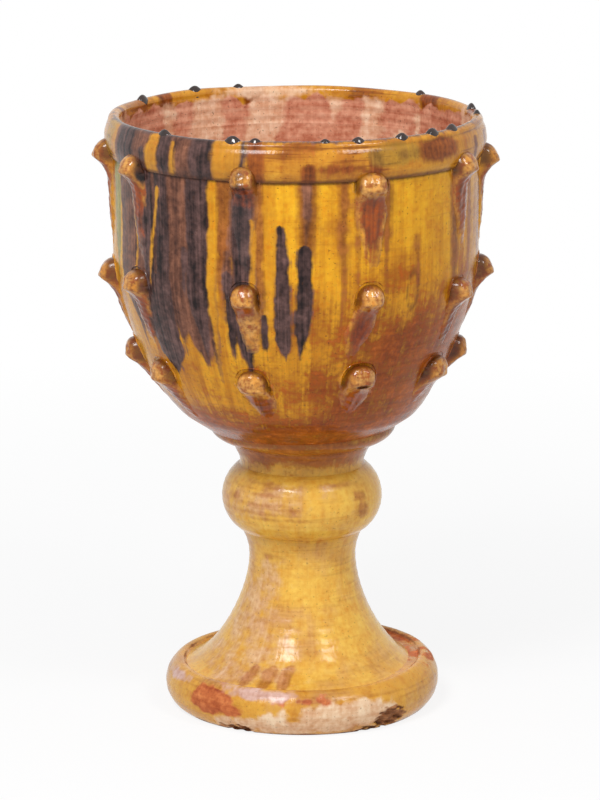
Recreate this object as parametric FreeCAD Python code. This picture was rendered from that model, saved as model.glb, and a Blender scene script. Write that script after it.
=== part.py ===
import FreeCAD, Part

import math
import os

# A footed goblet planter in glazed earthenware, in millimetres, +Z up.
# A potter throws the foot, stem, knop, neck and bowl as separate hollow rings and lutes them together
# with slip, presses a clay collar round the main joint, adds a rolled rim and lutes rows of branch stubs
# to the wall.
# Each of those pieces is a solid here, seated face to face on the piece that carries it.
# The origin is on the ground, under the axis of the bowl. The front is towards -Y.

# Foot ring: the rolled edge that the planter stands on
foot_base_overhang = 5.0
foot_base_width = 17.0
foot_roll_overhang = 16.5
foot_roll_height = 21.5
foot_shoulder_overhang = 7.0
foot_shoulder_rise = 2.1
foot_crest_overhang = 3.0
foot_crest_rise = 4.0
foot_seat_height = 38.5

# Stem: a hollow trumpet that stands on the foot ring, inside its crest
stem_foot_radius = 114.5
stem_foot_width = 26.0
stem_flare_height = 106.5
stem_waist_radius = 51.0
stem_wall = 12.5
stem_throat_height = 26.0
stem_top_radius = 58.0
stem_foot_slope = 10.0
stem_inner_slope = 40.0

# Knop: the hollow bulb on the stem
knop_radius = 76.5
knop_height = 59.0
knop_wall = 14.0

# Neck: the flared ring between the knop and the bowl
neck_height = 35.0
neck_bend_radius = 62.0
neck_bend_height = 16.0
neck_top_radius = 77.0

# Collar: the clay pressed round the joint of neck and bowl
collar_base_radius = 67.5
collar_base_drop = 14.7
collar_radius = 88.5
collar_height = 21.7
collar_cover = 14.0
collar_toe_radius = 80.0
collar_toe_height = 5.7

# Bowl: luted a little to one side of the pedestal's axis
pedestal_offset = 6.0
bowl_base_radius = 78.0
bowl_turn_radius = 114.0
bowl_turn_height = 21.5
bowl_turn_slope = 42.0
bowl_belly_radius = 174.5
bowl_belly_height = 175.0
bowl_lip_flare = 1.0
bowl_height = 269.0
bowl_wall = 12.0
bowl_floor = 14.0
drain_radius = 11.0

# Rim: the rolled band on the lip of the bowl
rim_height = 36.0
rim_step = 1.5
rim_swell = 5.0
rim_swell_height = 18.0
rim_shoulder_height = 29.5
rim_crest_setback = 4.5
rim_lip_height = 30.5

# Branch stubs: three rows of clay tapers, each with a knob that hooks outwards at its top
stub_columns = 10
first_column_azimuth = -90.0
stub_stations = 6
stub_crowding = 1.5
stub_sweep = 15.5
stub_end_depth = 1.2
knob_rise = 1.5
upper_knob_radius = 11.8
upper_knob_reach = 18.5
middle_knob_radius = 12.3
middle_knob_reach = 17.0
lower_knob_radius = 12.6
lower_knob_reach = 16.5

# Glaze drops on the crest of the rim, left by firing the planter upside down
drop_radius = 5.5

# Pulls of the thrown curves, as shares of the height that each curve climbs
stem_foot_pull_share = 0.29
stem_waist_pull_share = 0.38
stem_inner_pull_share = 0.24
bowl_turn_pull_share = 0.28
bowl_belly_pull_share = 0.22
collar_top_pull_share = 0.37

# Rows of stubs: how far each row lies below the lip and how long its tails are, as shares of the
# bowl's height
upper_drop_share = 0.002
upper_tail_share = 0.342
middle_drop_share = 0.407
middle_tail_share = 0.230
lower_drop_share = 0.714
lower_tail_share = 0.134

# Tail of a stub: its half width under the knob and at its end, as shares of the knob's radius, the
# height of its ridge under the knob, as a share of the knob's reach, and its half depth, as a share of its
# half width
stub_body_share = 0.92
stub_end_share = 0.42
stub_ridge_share = 0.80
stub_depth_share = 0.90

# Columns of stubs. Each gives its turn from the even pitch as a share of the pitch, then how far its upper,
# middle and lower stub sits above its row as shares of the knob's radius.
COLUMN_SHARES = (
    (0.17, 0.25, -0.20, 0.30),
    (-0.08, 0.10, 0.10, -0.35),
    (0.07, 0.20, 0.10, -0.10),
    (0.14, -0.40, 0.00, 0.25),
    (0.18, 0.15, -0.65, -0.15),
    (-0.11, -0.20, 0.00, 0.35),
    (-0.06, 0.15, 0.20, -0.10),
    (0.00, -0.10, -0.15, 0.15),
    (0.06, 0.20, 0.10, -0.20),
    (0.11, -0.05, 0.20, 0.10),
)

# Drops on the rim. Each gives its azimuth from the front in degrees, then its size as a share of the
# drop's radius.
DROP_AZIMUTH_SIZE_SHARES = (
    (-160.6, 0.70),
    (-144.6, 1.00),
    (-120.0, 0.90),
    (-44.4, 0.90),
    (-19.4, 1.00),
    (-12.3, 0.75),
    (9.0, 0.65),
    (19.3, 0.80),
    (34.3, 0.90),
    (46.9, 1.00),
    (57.1, 1.00),
    (90.0, 0.70),
    (102.0, 0.85),
    (134.8, 0.70),
)

# Heights of the joints above the ground
stem_z = foot_seat_height
waist_z = stem_z + stem_flare_height
knop_z = waist_z + stem_throat_height
neck_z = knop_z + knop_height
bowl_z = neck_z + neck_height
turn_z = bowl_z + bowl_turn_height
belly_z = bowl_z + bowl_belly_height
rim_z = bowl_z + bowl_height
crest_z = rim_z + rim_height

# Radii of the lip and the rim, which follow the belly
bowl_lip_radius = bowl_belly_radius + bowl_lip_flare
rim_foot_radius = bowl_lip_radius + rim_step
rim_radius = bowl_lip_radius + rim_swell
rim_crest_radius = bowl_lip_radius - rim_crest_setback

# Inner sizes that follow the walls
stem_bore_radius = stem_foot_radius - stem_foot_width
throat_bore_radius = stem_top_radius - knop_wall
bowl_bore_radius = bowl_lip_radius - bowl_wall
underside_slope = math.degrees(math.atan2(bowl_turn_height, bowl_turn_radius - bowl_base_radius))


def at(radius, height):
    """Point in the plane of the profile."""
    return FreeCAD.Vector(radius, 0, height)


def toward(start, length, slope):
    """Point at a length from start, climbing outwards at a slope in degrees."""
    angle = math.radians(slope)
    return start + at(length * math.cos(angle), length * math.sin(angle))


def line(start, end):
    return Part.makeLine(start, end)


def arc(start, middle, end):
    return Part.Arc(start, middle, end).toShape()


def bezier(*poles):
    curve = Part.BezierCurve()
    curve.setPoles(list(poles))
    return curve.toShape()


def turn_on_wheel(*edges):
    """Solid of revolution about the Z axis of the closed section that the edges bound."""
    section = Part.Face(Part.Wire(Part.__sortEdges__(list(edges))))
    return section.revolve(at(0, 0), FreeCAD.Vector(0, 0, 1), 360)


def closed_on_axis(outer_edges, base, top):
    """Solid of revolution with no hollow, under outer edges that run from a base point to a top point."""
    foot, head = at(0, base.z), at(0, top.z)
    return turn_on_wheel(*outer_edges, line(top, head), line(head, foot), line(foot, base))


def facing(shape, azimuth):
    """Copy of a shape made over the +X axis, turned to an azimuth that counts from the front."""
    turned = shape.copy()
    turned.rotate(at(0, 0), FreeCAD.Vector(0, 0, 1), azimuth - 90)
    return turned


def on_pedestal(shape):
    """Shape made about the Z axis, moved to the pedestal's axis."""
    moved = shape.copy()
    moved.translate(FreeCAD.Vector(pedestal_offset, 0, 0))
    return moved


def make_foot_ring():
    """Half-round roll with a flat seat for the stem, inside a raised crest."""
    base_outer = at(stem_foot_radius + foot_base_overhang, 0)
    base_inner = base_outer - at(foot_base_width, 0)
    roll = at(stem_foot_radius + foot_roll_overhang, foot_roll_height)
    seat_outer = at(stem_foot_radius, stem_z)
    seat_inner = at(stem_bore_radius, stem_z)
    shoulder = seat_outer + at(foot_shoulder_overhang, foot_shoulder_rise)
    crest = seat_outer + at(foot_crest_overhang, foot_crest_rise)
    ring = turn_on_wheel(
        line(base_inner, base_outer),
        arc(base_outer, roll, shoulder),
        arc(shoulder, crest, seat_outer),
        line(seat_outer, seat_inner),
        line(seat_inner, base_inner),
    )
    return on_pedestal(ring)


def stem_flare(foot, waist, foot_slope, foot_pull_share):
    """Thrown curve that leaves the foot at a slope and climbs to an upright waist."""
    rise = waist.z - foot.z
    return bezier(
        foot,
        toward(foot, foot_pull_share * rise, 180 - foot_slope),
        waist - at(0, stem_waist_pull_share * rise),
        waist,
    )


def stem_throat(waist, top):
    """Curve that leaves the waist upright and opens to the top."""
    return bezier(waist, at(waist.x, (waist.z + top.z) / 2), top)


def make_stem():
    """Hollow trumpet: an outer and an inner flare, each with its throat."""
    outer_foot = at(stem_foot_radius, stem_z)
    outer_waist = at(stem_waist_radius, waist_z)
    outer_top = at(stem_top_radius, knop_z)
    inner_foot = at(stem_bore_radius, stem_z)
    inner_waist = at(stem_waist_radius - stem_wall, waist_z)
    inner_top = at(throat_bore_radius, knop_z)
    stem = turn_on_wheel(
        stem_flare(outer_foot, outer_waist, stem_foot_slope, stem_foot_pull_share),
        stem_throat(outer_waist, outer_top),
        line(outer_top, inner_top),
        stem_throat(inner_waist, inner_top),
        stem_flare(inner_foot, inner_waist, stem_inner_slope, stem_inner_pull_share),
        line(inner_foot, outer_foot),
    )
    return on_pedestal(stem)


def make_knop():
    """Hollow bulb with a round outside and a round inside."""
    middle_z = knop_z + knop_height / 2
    outer_base, outer_top = at(stem_top_radius, knop_z), at(stem_top_radius, neck_z)
    inner_base, inner_top = at(throat_bore_radius, knop_z), at(throat_bore_radius, neck_z)
    knop = turn_on_wheel(
        arc(outer_base, at(knop_radius, middle_z), outer_top),
        line(outer_top, inner_top),
        arc(inner_top, at(knop_radius - knop_wall, middle_z), inner_base),
        line(inner_base, outer_base),
    )
    return on_pedestal(knop)


def neck_outer_edge():
    return bezier(
        at(stem_top_radius, neck_z),
        at(neck_bend_radius, neck_z + neck_bend_height),
        at(neck_top_radius, bowl_z),
    )


def make_neck():
    """Ring that opens upwards to carry the base of the bowl."""
    outer = neck_outer_edge()
    inner = outer.copy()
    inner.translate(at(-knop_wall, 0))
    ends = [edge.Vertexes for edge in (outer, inner)]
    rings = [line(ends[0][i].Point, ends[1][i].Point) for i in (0, 1)]
    return on_pedestal(turn_on_wheel(outer, inner, *rings))


def neck_core():
    core = closed_on_axis([neck_outer_edge()], at(stem_top_radius, neck_z), at(neck_top_radius, bowl_z))
    return on_pedestal(core)


def bowl_outer_edges():
    """Outside of the bowl from its base to its lip: trimmed underside, thrown belly, upright wall."""
    base = at(bowl_base_radius, bowl_z)
    turn = at(bowl_turn_radius, turn_z)
    belly = at(bowl_belly_radius, belly_z)
    return [line(base, turn), belly_curve(turn, belly), line(belly, at(bowl_lip_radius, rim_z))]


def belly_curve(turn, belly):
    """Thrown curve that leaves the trimmed underside at a slope and climbs to an upright wall."""
    rise = belly.z - turn.z
    return bezier(
        turn,
        toward(turn, bowl_turn_pull_share * rise, bowl_turn_slope),
        belly - at(0, bowl_belly_pull_share * rise),
        belly,
    )


def bowl_core():
    """Outside of the bowl with no hollow, which the stubs and the collar are seated on."""
    return closed_on_axis(bowl_outer_edges(), at(bowl_base_radius, bowl_z), at(bowl_lip_radius, rim_z))


def make_bowl():
    """Thrown bowl with an even wall, a flat floor and a drain hole."""
    floor_z = bowl_z + bowl_floor
    square_off = underside_slope / 2 + bowl_turn_slope / 2 + 90
    inner_turn = toward(at(bowl_turn_radius, turn_z), bowl_wall, square_off)
    floor_edge_radius = inner_turn.x - (inner_turn.z - floor_z) / math.tan(math.radians(underside_slope))
    floor_edge = at(floor_edge_radius, floor_z)
    inner_belly = at(bowl_belly_radius - bowl_wall, belly_z)
    inner_lip, outer_lip = at(bowl_bore_radius, rim_z), at(bowl_lip_radius, rim_z)
    drain_top, drain_base = at(drain_radius, floor_z), at(drain_radius, bowl_z)
    return turn_on_wheel(
        *bowl_outer_edges(),
        line(outer_lip, inner_lip),
        line(inner_lip, inner_belly),
        belly_curve(inner_turn, inner_belly),
        line(inner_turn, floor_edge),
        line(floor_edge, drain_top),
        line(drain_top, drain_base),
        line(drain_base, at(bowl_base_radius, bowl_z)),
    )


def make_joint_collar():
    """Bulging ring of clay, shaped by the neck that it is pressed round and the bowl above it."""
    base_z = bowl_z - collar_base_drop
    base = at(collar_base_radius, base_z)
    top = at(collar_radius, base_z + collar_height)
    cover = at(collar_radius, top.z + collar_cover)
    inner_base = at(throat_bore_radius, base_z)
    inner_cover = at(throat_bore_radius, cover.z)
    blank = turn_on_wheel(
        bezier(
            base,
            at(collar_toe_radius, base_z + collar_toe_height),
            top - at(0, collar_top_pull_share * collar_height),
            top,
        ),
        line(top, cover),
        line(cover, inner_cover),
        line(inner_cover, inner_base),
        line(inner_base, base),
    )
    return on_pedestal(blank).cut(neck_core()).cut(bowl_core())


def rim_outer_edges():
    foot = at(rim_foot_radius, rim_z)
    shoulder = at(rim_foot_radius, rim_z + rim_shoulder_height)
    lip = at(bowl_bore_radius, rim_z + rim_lip_height)
    return [
        arc(foot, at(rim_radius, rim_z + rim_swell_height), shoulder),
        arc(shoulder, at(rim_crest_radius, crest_z), lip),
    ]


def make_rim_roll():
    """Rolled band that stands on the lip of the bowl and swells past it."""
    foot = at(rim_foot_radius, rim_z)
    lip = at(bowl_bore_radius, rim_z + rim_lip_height)
    seat_inner = at(bowl_bore_radius, rim_z)
    return turn_on_wheel(*rim_outer_edges(), line(lip, seat_inner), line(seat_inner, foot))


def wall_radius(height):
    """Radius of the bowl's outside at a height, which is the lip's radius above the lip."""
    profile = Part.Wire(bowl_outer_edges())
    level = line(at(0, height), at(rim_radius, height))
    nearest = profile.distToShape(level)[1][0][0]
    return nearest.x


def stub_section(centre, half_width, half_depth):
    """Level elliptical section of a stub, wide along the wall and thin away from it."""
    along_wall = centre + FreeCAD.Vector(0, half_width, 0)
    away = centre + at(half_depth, 0)
    return Part.Wire(Part.Ellipse(along_wall, away, centre).toShape())


def make_stub(row_z, tail_length, knob_radius, knob_reach, seat):
    """Tapered tail lofted up the wall, with a round knob that stands out of it, over the +X axis.

    The ridge of the tail sinks to the wall as an exponential, while its width tapers evenly, so that the
    underside of the stub is a concave sweep. The stations crowd towards the knob.
    """
    sections = []
    for station in range(stub_stations):
        way_share = station / (stub_stations - 1)
        down = tail_length * way_share ** stub_crowding
        ridge = stub_end_depth + stub_ridge_share * knob_reach * math.exp(-down / stub_sweep)
        half_width = knob_radius * (stub_body_share + way_share * (stub_end_share - stub_body_share))
        half_depth = min(ridge, stub_depth_share * half_width)
        centre = at(wall_radius(row_z - down) + ridge - half_depth, row_z - down)
        sections.append(stub_section(centre, half_width, half_depth))
    tail = Part.makeLoft(sections, True)
    knob_centre = at(wall_radius(row_z) + knob_reach - knob_radius, row_z + knob_rise)
    knob = Part.makeSphere(knob_radius, knob_centre)
    return tail.fuse(knob).cut(seat)


def make_stubs():
    """Every stub of the three rows by its name, set round the bowl column by column."""
    rows = {
        "upper": (upper_drop_share, upper_tail_share, upper_knob_radius, upper_knob_reach),
        "middle": (middle_drop_share, middle_tail_share, middle_knob_radius, middle_knob_reach),
        "lower": (lower_drop_share, lower_tail_share, lower_knob_radius, lower_knob_reach),
    }
    seat = bowl_core().fuse(make_rim_roll())
    pitch = 360 / stub_columns
    stubs = {}
    for column in range(stub_columns):
        turn_share, *rise_shares = COLUMN_SHARES[column % len(COLUMN_SHARES)]
        azimuth = first_column_azimuth + pitch * (column + turn_share)
        for (row, sizes), rise_share in zip(rows.items(), rise_shares):
            drop_share, tail_share, knob_radius, knob_reach = sizes
            row_z = rim_z - drop_share * bowl_height + rise_share * knob_radius
            stub = make_stub(row_z, tail_share * bowl_height, knob_radius, knob_reach, seat)
            stubs[f"{row}_stub_{column + 1:02d}"] = facing(stub, azimuth)
    return stubs


def make_rim_drops():
    """Every glaze drop by its name: a bead that sits on the crest of the rim."""
    rim = make_rim_roll()
    drops = {}
    for i, (azimuth, size_share) in enumerate(DROP_AZIMUTH_SIZE_SHARES):
        bead = Part.makeSphere(size_share * drop_radius, at(rim_crest_radius, crest_z)).cut(rim)
        drops[f"rim_drop_{i + 1:02d}"] = facing(bead, azimuth)
    return drops


def main():
    pieces = {
        "foot_ring": make_foot_ring(),
        "stem": make_stem(),
        "knop": make_knop(),
        "neck": make_neck(),
        "joint_collar": make_joint_collar(),
        "bowl": make_bowl(),
        "rim_roll": make_rim_roll(),
        **make_stubs(),
        **make_rim_drops(),
    }
    os.makedirs("parts", exist_ok=True)
    for name, shape in pieces.items():
        shape.exportStep(f"parts/{name}.step")
        state = "valid" if shape.isValid() else "INVALID"
        print(name, len(shape.Solids), "solid", round(shape.Volume), "mm3", state)


main()
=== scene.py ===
import logging
import math
from dataclasses import dataclass, field, replace
from enum import Enum

import bpy
import numpy as np
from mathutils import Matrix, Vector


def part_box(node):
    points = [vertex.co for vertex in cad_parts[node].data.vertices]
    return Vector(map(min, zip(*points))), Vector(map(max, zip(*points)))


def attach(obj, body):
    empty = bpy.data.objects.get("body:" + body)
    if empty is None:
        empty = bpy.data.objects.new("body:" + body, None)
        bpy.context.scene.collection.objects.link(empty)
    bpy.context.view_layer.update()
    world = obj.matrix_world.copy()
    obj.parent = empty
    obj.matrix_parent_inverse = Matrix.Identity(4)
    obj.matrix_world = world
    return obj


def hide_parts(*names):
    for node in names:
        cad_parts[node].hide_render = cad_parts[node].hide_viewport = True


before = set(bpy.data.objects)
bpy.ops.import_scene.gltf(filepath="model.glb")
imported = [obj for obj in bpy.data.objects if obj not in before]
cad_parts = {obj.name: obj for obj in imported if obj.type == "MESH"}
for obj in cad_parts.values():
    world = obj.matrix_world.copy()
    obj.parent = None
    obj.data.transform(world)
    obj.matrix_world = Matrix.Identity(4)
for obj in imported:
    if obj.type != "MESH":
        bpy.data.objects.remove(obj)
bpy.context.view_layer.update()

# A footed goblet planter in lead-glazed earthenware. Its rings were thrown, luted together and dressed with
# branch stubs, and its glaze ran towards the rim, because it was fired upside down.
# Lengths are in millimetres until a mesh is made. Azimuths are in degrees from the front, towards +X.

LOG = logging.getLogger("planter")
MM = 0.001
ROOT = "root"
# Depth of a place that is far outside a mark, and of one that is well inside bare clay, in millimetres
NOWHERE = -50.0
BARE_DEPTH = 10.0
# Height of the heads of runs that came over the rim
OVER_RIM = 600.0
# Angle in degrees past which an edge is drawn sharp
SHARP_ANGLE = 50.0

Array = np.ndarray
Point = tuple[float, float]
Colour = tuple[float, float, float, float]
Socket = bpy.types.NodeSocket
Tree = bpy.types.NodeTree


def linear(hex_colour: str) -> Colour:
    """Turns an sRGB hex colour to linear light.

    Args:
        hex_colour: Colour written as #rrggbb.

    Returns:
        Red, green, blue and an alpha of one, as a colour socket takes them.
    """
    channels = np.array([int(hex_colour[i:i + 2], 16) for i in (1, 3, 5)]) / 255.0
    light = np.where(channels <= 0.04045, channels / 12.92, ((channels + 0.055) / 1.055) ** 2.4)
    return (*light.tolist(), 1.0)


def smooth(value: Array, low: float, high: float) -> Array:
    """Eased step from 0 at low to 1 at high: t squared times (3 - 2 t), with t clipped to 0..1."""
    t = np.clip((value - low) / (high - low), 0.0, 1.0)
    return t * t * (3.0 - 2.0 * t)


def soft_max(first: Array, second: Array, sharpness: Array | float) -> Array:
    """Greater of two heights, rounded where they meet: the logarithm of the sum of their exponentials."""
    return np.logaddexp(sharpness * first, sharpness * second) / sharpness


def turn_apart(azimuth: Array, other: Array | float) -> Array:
    """Angle from other to azimuth in degrees, taken the short way round."""
    return (azimuth - other + 180.0) % 360.0 - 180.0


def sector(azimuth: Array, middle: float, ends: Point) -> Array:
    """One up to the first of two angles from the middle, fading to zero at the second."""
    return 1.0 - smooth(np.abs(turn_apart(azimuth, middle)), *ends)


def unevenness(azimuth: Array, height: Array, seed: int, span: float, lobes: int) -> Array:
    """Smooth unevenness of hand work, about from -1 to 1.

    Mean of cosines of (a whole number of lobes times the azimuth + the height over a span + a phase), which
    closes round the piece because the lobes are whole numbers.

    Args:
        azimuth: Azimuths in degrees.
        height: Heights in millimetres.
        seed: Seed of the phases.
        span: Typical length of a swelling along the height, in millimetres.
        lobes: Largest number of swellings round the piece.

    Returns:
        Unevenness at each place.
    """
    rng = np.random.default_rng(seed)
    waves, gain = 7, 1.6
    total = np.zeros(np.broadcast(azimuth, height).shape)
    for _ in range(waves):
        turns = int(rng.integers(1, lobes + 1))
        climb = rng.normal(0.0, math.tau / span)
        total += np.cos(turns * np.radians(azimuth) + climb * height + rng.uniform(0.0, math.tau))
    return total * gain / waves


def bezier(*poles: Point, step: float = 2.2) -> Array:
    """Samples a Bezier curve of any degree evenly in its parameter.

    Args:
        poles: (radius, height) poles; two of them give a straight line.
        step: Distance between samples along the poles' polygon.

    Returns:
        Samples as rows of (radius, height), both ends included.
    """
    pole = np.array(poles, float)
    length = np.linalg.norm(np.diff(pole, axis=0), axis=1).sum()
    t = np.linspace(0.0, 1.0, max(3, math.ceil(length / step) + 1))[:, None]
    degree = len(pole) - 1
    return sum(math.comb(degree, i) * t ** i * (1 - t) ** (degree - i) * pole[i] for i in range(degree + 1))


def arc(start: Point, middle: Point, end: Point, step: float = 1.8) -> Array:
    """Samples the circular arc through three points.

    The centre is where the bisectors of the two chords meet, and the angle runs evenly from start to end.

    Args:
        start: First (radius, height) point.
        middle: A point that the arc passes through.
        end: Last point.
        step: Distance between samples.

    Returns:
        Samples as rows of (radius, height), both ends included.
    """
    a, b, c = (np.array(p, float) for p in (start, middle, end))
    sides = np.array([b - a, c - b])
    centre = np.linalg.solve(sides, (sides * np.array([(a + b) / 2, (b + c) / 2])).sum(axis=1))
    angles = [math.atan2(*(p - centre)[::-1]) for p in (a, b, c)]
    sweep = (angles[2] - angles[0]) % math.tau
    if (angles[1] - angles[0]) % math.tau > sweep:
        sweep -= math.tau
    radius = np.linalg.norm(a - centre)
    turn = angles[0] + sweep * np.linspace(0.0, 1.0, max(4, math.ceil(abs(sweep) * radius / step) + 1))
    return centre + radius * np.stack([np.cos(turn), np.sin(turn)], axis=1)


def thrown_curve(start: Point, end: Point, slope: float, pulls: Point, step: float) -> Array:
    """Samples a thrown curve that leaves its start at a slope and climbs to an upright end.

    Args:
        start: First (radius, height) point.
        end: Last point.
        slope: Angle at the start, in degrees from straight outwards.
        pulls: How far the curve keeps to the direction of its start and of its end, as shares of its rise.
        step: Distance between samples.

    Returns:
        Samples as rows of (radius, height), both ends included.
    """
    rise = end[1] - start[1]
    angle, reach = math.radians(slope), pulls[0] * rise
    leave = (start[0] + reach * math.cos(angle), start[1] + reach * math.sin(angle))
    return bezier(start, leave, (end[0], end[1] - pulls[1] * rise), end, step=step)


class Mark(Enum):
    """What lies on a surface. The value names the mesh attribute with the depth inside it, in millimetres."""

    MANGANESE = "manganese"
    UMBER = "umber"
    RUST = "rust"
    HONEY = "honey"
    MOSS = "moss"
    HORN = "horn"
    KNOB = "knob"
    # Dark brown: glaze pooled in corners and joints together with painted shade there, and dark stains such as drop
    # outlines, worn edges and the chip
    CREASE = "crease"
    CLAY = "clay"
    SLIP = "slip"
    CREAM = "cream"
    # How brown the glaze fired; on the stubs and at the knop's joint with the stem it also carries painted shade
    SCORCH_AND_SHADE = "scorch"


Fields = dict[Mark, Array]
# Marks that the runs of glaze leave
RUN_MARKS = (Mark.UMBER, Mark.RUST, Mark.MANGANESE, Mark.HONEY, Mark.MOSS)


@dataclass
class Place:
    """Points of a surface, as arrays of one shape."""

    azimuth: Array
    radius: Array
    height: Array

    def points(self, axis_x: float) -> Array:
        """Rows of x, y, z in metres, about an upright axis at axis_x millimetres."""
        turn = np.radians(self.azimuth)
        xyz = [axis_x + self.radius * np.sin(turn), -self.radius * np.cos(turn), self.height]
        return np.stack([part.ravel() for part in xyz], axis=1) * MM

    def uneven(self, seed: int, span: float, lobes: int) -> Array:
        """Unevenness of hand work at each point."""
        return unevenness(self.azimuth, self.height, seed, span, lobes)


@dataclass(frozen=True)
class Run:
    """A run of glaze along the wall: a round head towards the rim and a ragged tail towards the foot.

    Attributes:
        mark: What it is made of.
        azimuth: Where its head lies.
        width: Width of its body.
        top: Height of its head.
        bottom: Height at which its tail runs out.
        drift: Degrees that it turns from head to tail.
        spread: Share of its width that it gains on the way down.
        tail: Share of its length over which it narrows to nothing.
        sway: Millimetres that it winds to either side.
        sway_gap: Height in which its winding goes through one radian.
    """

    mark: Mark
    azimuth: float
    width: float
    top: float
    bottom: float
    drift: float = 0.0
    spread: float = 0.0
    tail: float = 0.3
    sway: float = 0.8
    sway_gap: float = 13.0

    def depth(self, place: Place) -> Array:
        """Depth of each place inside the run.

        Half the width at that height less the distance aside of a gently winding centre line, where the half
        width is that of a semicircle at the head and falls to zero at the tail.

        Args:
            place: Places to look at.

        Returns:
            Millimetres inside the run, negative outside it.
        """
        below = self.top - place.height
        length = self.top - self.bottom
        way = np.clip(below / length, 0.0, 1.0)
        aside = place.radius * np.radians(turn_apart(place.azimuth, self.azimuth + self.drift * way))
        aside = aside + self.sway * np.sin(place.height / self.sway_gap + self.azimuth)
        half = self.width / 2
        head = np.sqrt(1.0 - (1.0 - np.clip(below / half, 0.0, 1.0)) ** 2)
        body = half * head * (1.0 - smooth(way, 1.0 - self.tail, 1.0)) * (1.0 + self.spread * way)
        beyond = np.maximum(-below, 0.0) + np.maximum(below - length, 0.0)
        return body - np.abs(aside) - beyond


@dataclass(frozen=True)
class Patch:
    """A rounded patch on the surface.

    Attributes:
        mark: What it is made of.
        azimuth: Its middle round the axis.
        height: Its middle above the ground.
        width: Its full width round the surface.
        rise: Its full height.
    """

    mark: Mark
    azimuth: float
    height: float
    width: float
    rise: float

    def depth(self, place: Place) -> Array:
        """Depth of each place inside the patch: one less the elliptical distance, times the smaller half size."""
        aside = place.radius * np.radians(turn_apart(place.azimuth, self.azimuth)) / (self.width / 2)
        above = (place.height - self.height) / (self.rise / 2)
        return (1.0 - np.hypot(aside, above)) * min(self.width, self.rise) / 2


@dataclass(frozen=True)
class Loop(Patch):
    """The thin outline of a patch, as a drop that dried leaves."""

    line: float = 1.0

    def depth(self, place: Place) -> Array:
        """Depth of each place inside the line round the patch."""
        return self.line / 2 - np.abs(super().depth(place))


Marks = tuple[Run | Patch, ...]


def patches(mark: Mark, *rows: tuple[float, float, float, float]) -> Marks:
    """Patches of one kind, from rows of azimuth, height, width and rise."""
    return tuple(Patch(mark, *row) for row in rows)


def deepest(marks: Marks, mark: Mark, place: Place) -> Array:
    """Depth of each place inside the nearest of the marks of one kind, far outside where there is none."""
    depths = [m.depth(place) for m in marks if m.mark is mark]
    return np.maximum.reduce(depths) if depths else np.full(place.azimuth.shape, NOWHERE)


def run_depths(marks: Marks, place: Place) -> Fields:
    """Depth of each place inside the runs of each kind."""
    return {mark: deepest(marks, mark, place) for mark in RUN_MARKS}


def bare_inside(inside: Array) -> Array:
    """Depth of each place inside bare clay, which is all of the inside and none of the outside."""
    return BARE_DEPTH * (2.0 * inside - 1.0)


# Runs on the front of the bowl's wall. The left is dark with manganese, the right yellow with brown streaks.
FRONT_MARKS: Marks = (
    Run(Mark.MOSS, -73.0, 18, OVER_RIM, 420),
    Run(Mark.UMBER, -63.7, 40, OVER_RIM, 362, drift=2.5),
    Run(Mark.UMBER, -49.0, 50, OVER_RIM, 340, tail=0.22),
    Run(Mark.UMBER, -39.2, 24, OVER_RIM, 364, tail=0.2),
    Run(Mark.UMBER, -31.4, 34, OVER_RIM, 350, tail=0.16),
    Run(Mark.UMBER, -26.8, 10, 470, 340, drift=-0.5, tail=0.35),
    Run(Mark.UMBER, -20.8, 9, 470, 364, tail=0.25),
    Run(Mark.UMBER, -16.3, 24, OVER_RIM, 350, tail=0.2),
    Run(Mark.MANGANESE, -52.5, 15, OVER_RIM, 350, drift=2.4, tail=0.4),
    Run(Mark.MANGANESE, -45.6, 17, OVER_RIM, 338, drift=1.6, tail=0.3),
    Run(Mark.MANGANESE, -49.0, 34, 440, 338, drift=2.0, tail=0.3),
    Run(Mark.MANGANESE, -31.0, 25, OVER_RIM, 352, tail=0.35),
    Run(Mark.MANGANESE, -36.5, 6, 470, 420),
    Run(Mark.MANGANESE, -21.0, 9, 450, 366, drift=1.0, tail=0.3),
    Run(Mark.MANGANESE, -16.3, 19, 545, 345, drift=0.6, tail=0.25),
    Run(Mark.MANGANESE, -9.6, 6, 412, 362, tail=0.5),
    Run(Mark.MANGANESE, -4.5, 10, 495, 366, drift=0.9, spread=0.75, tail=0.18),
    Run(Mark.MANGANESE, 2.9, 14, 477, 358, drift=-1.2, spread=0.2, tail=0.42),
    Run(Mark.RUST, -22.0, 17, 560, 400, tail=0.3),
    Run(Mark.RUST, -11.0, 14, 560, 372),
    Run(Mark.UMBER, 3.4, 7, 552, 455, tail=0.5),
    Run(Mark.RUST, 3.6, 18, 560, 440, tail=0.4),
    Run(Mark.RUST, 14.6, 9, 540, 400, tail=0.6),
    Run(Mark.RUST, 19.0, 5, 520, 440, tail=0.6),
    Run(Mark.RUST, 28.6, 8, 545, 430, tail=0.6),
    Run(Mark.RUST, 40.0, 6, 480, 400, tail=0.6),
    Run(Mark.RUST, 57.5, 13, 545, 390, tail=0.5),
    Run(Mark.RUST, 68.0, 8, 540, 410, tail=0.5),
    Run(Mark.RUST, 79.0, 10, 540, 410, tail=0.5),
    Loop(Mark.CREASE, 38.5, 428, 13, 34),
    Run(Mark.HONEY, -25.8, 8, 540, 350, drift=-1.2, tail=0.35),
    Run(Mark.HONEY, -47.0, 3.4, 522, 428, drift=-4.0),
    Run(Mark.HONEY, -56.9, 3.6, 540, 420, drift=-1.5),
    Run(Mark.HONEY, -13.0, 4, 500, 396, tail=0.5),
    Run(Mark.HONEY, -7.8, 11, 540, 410, tail=0.4),
)

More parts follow.
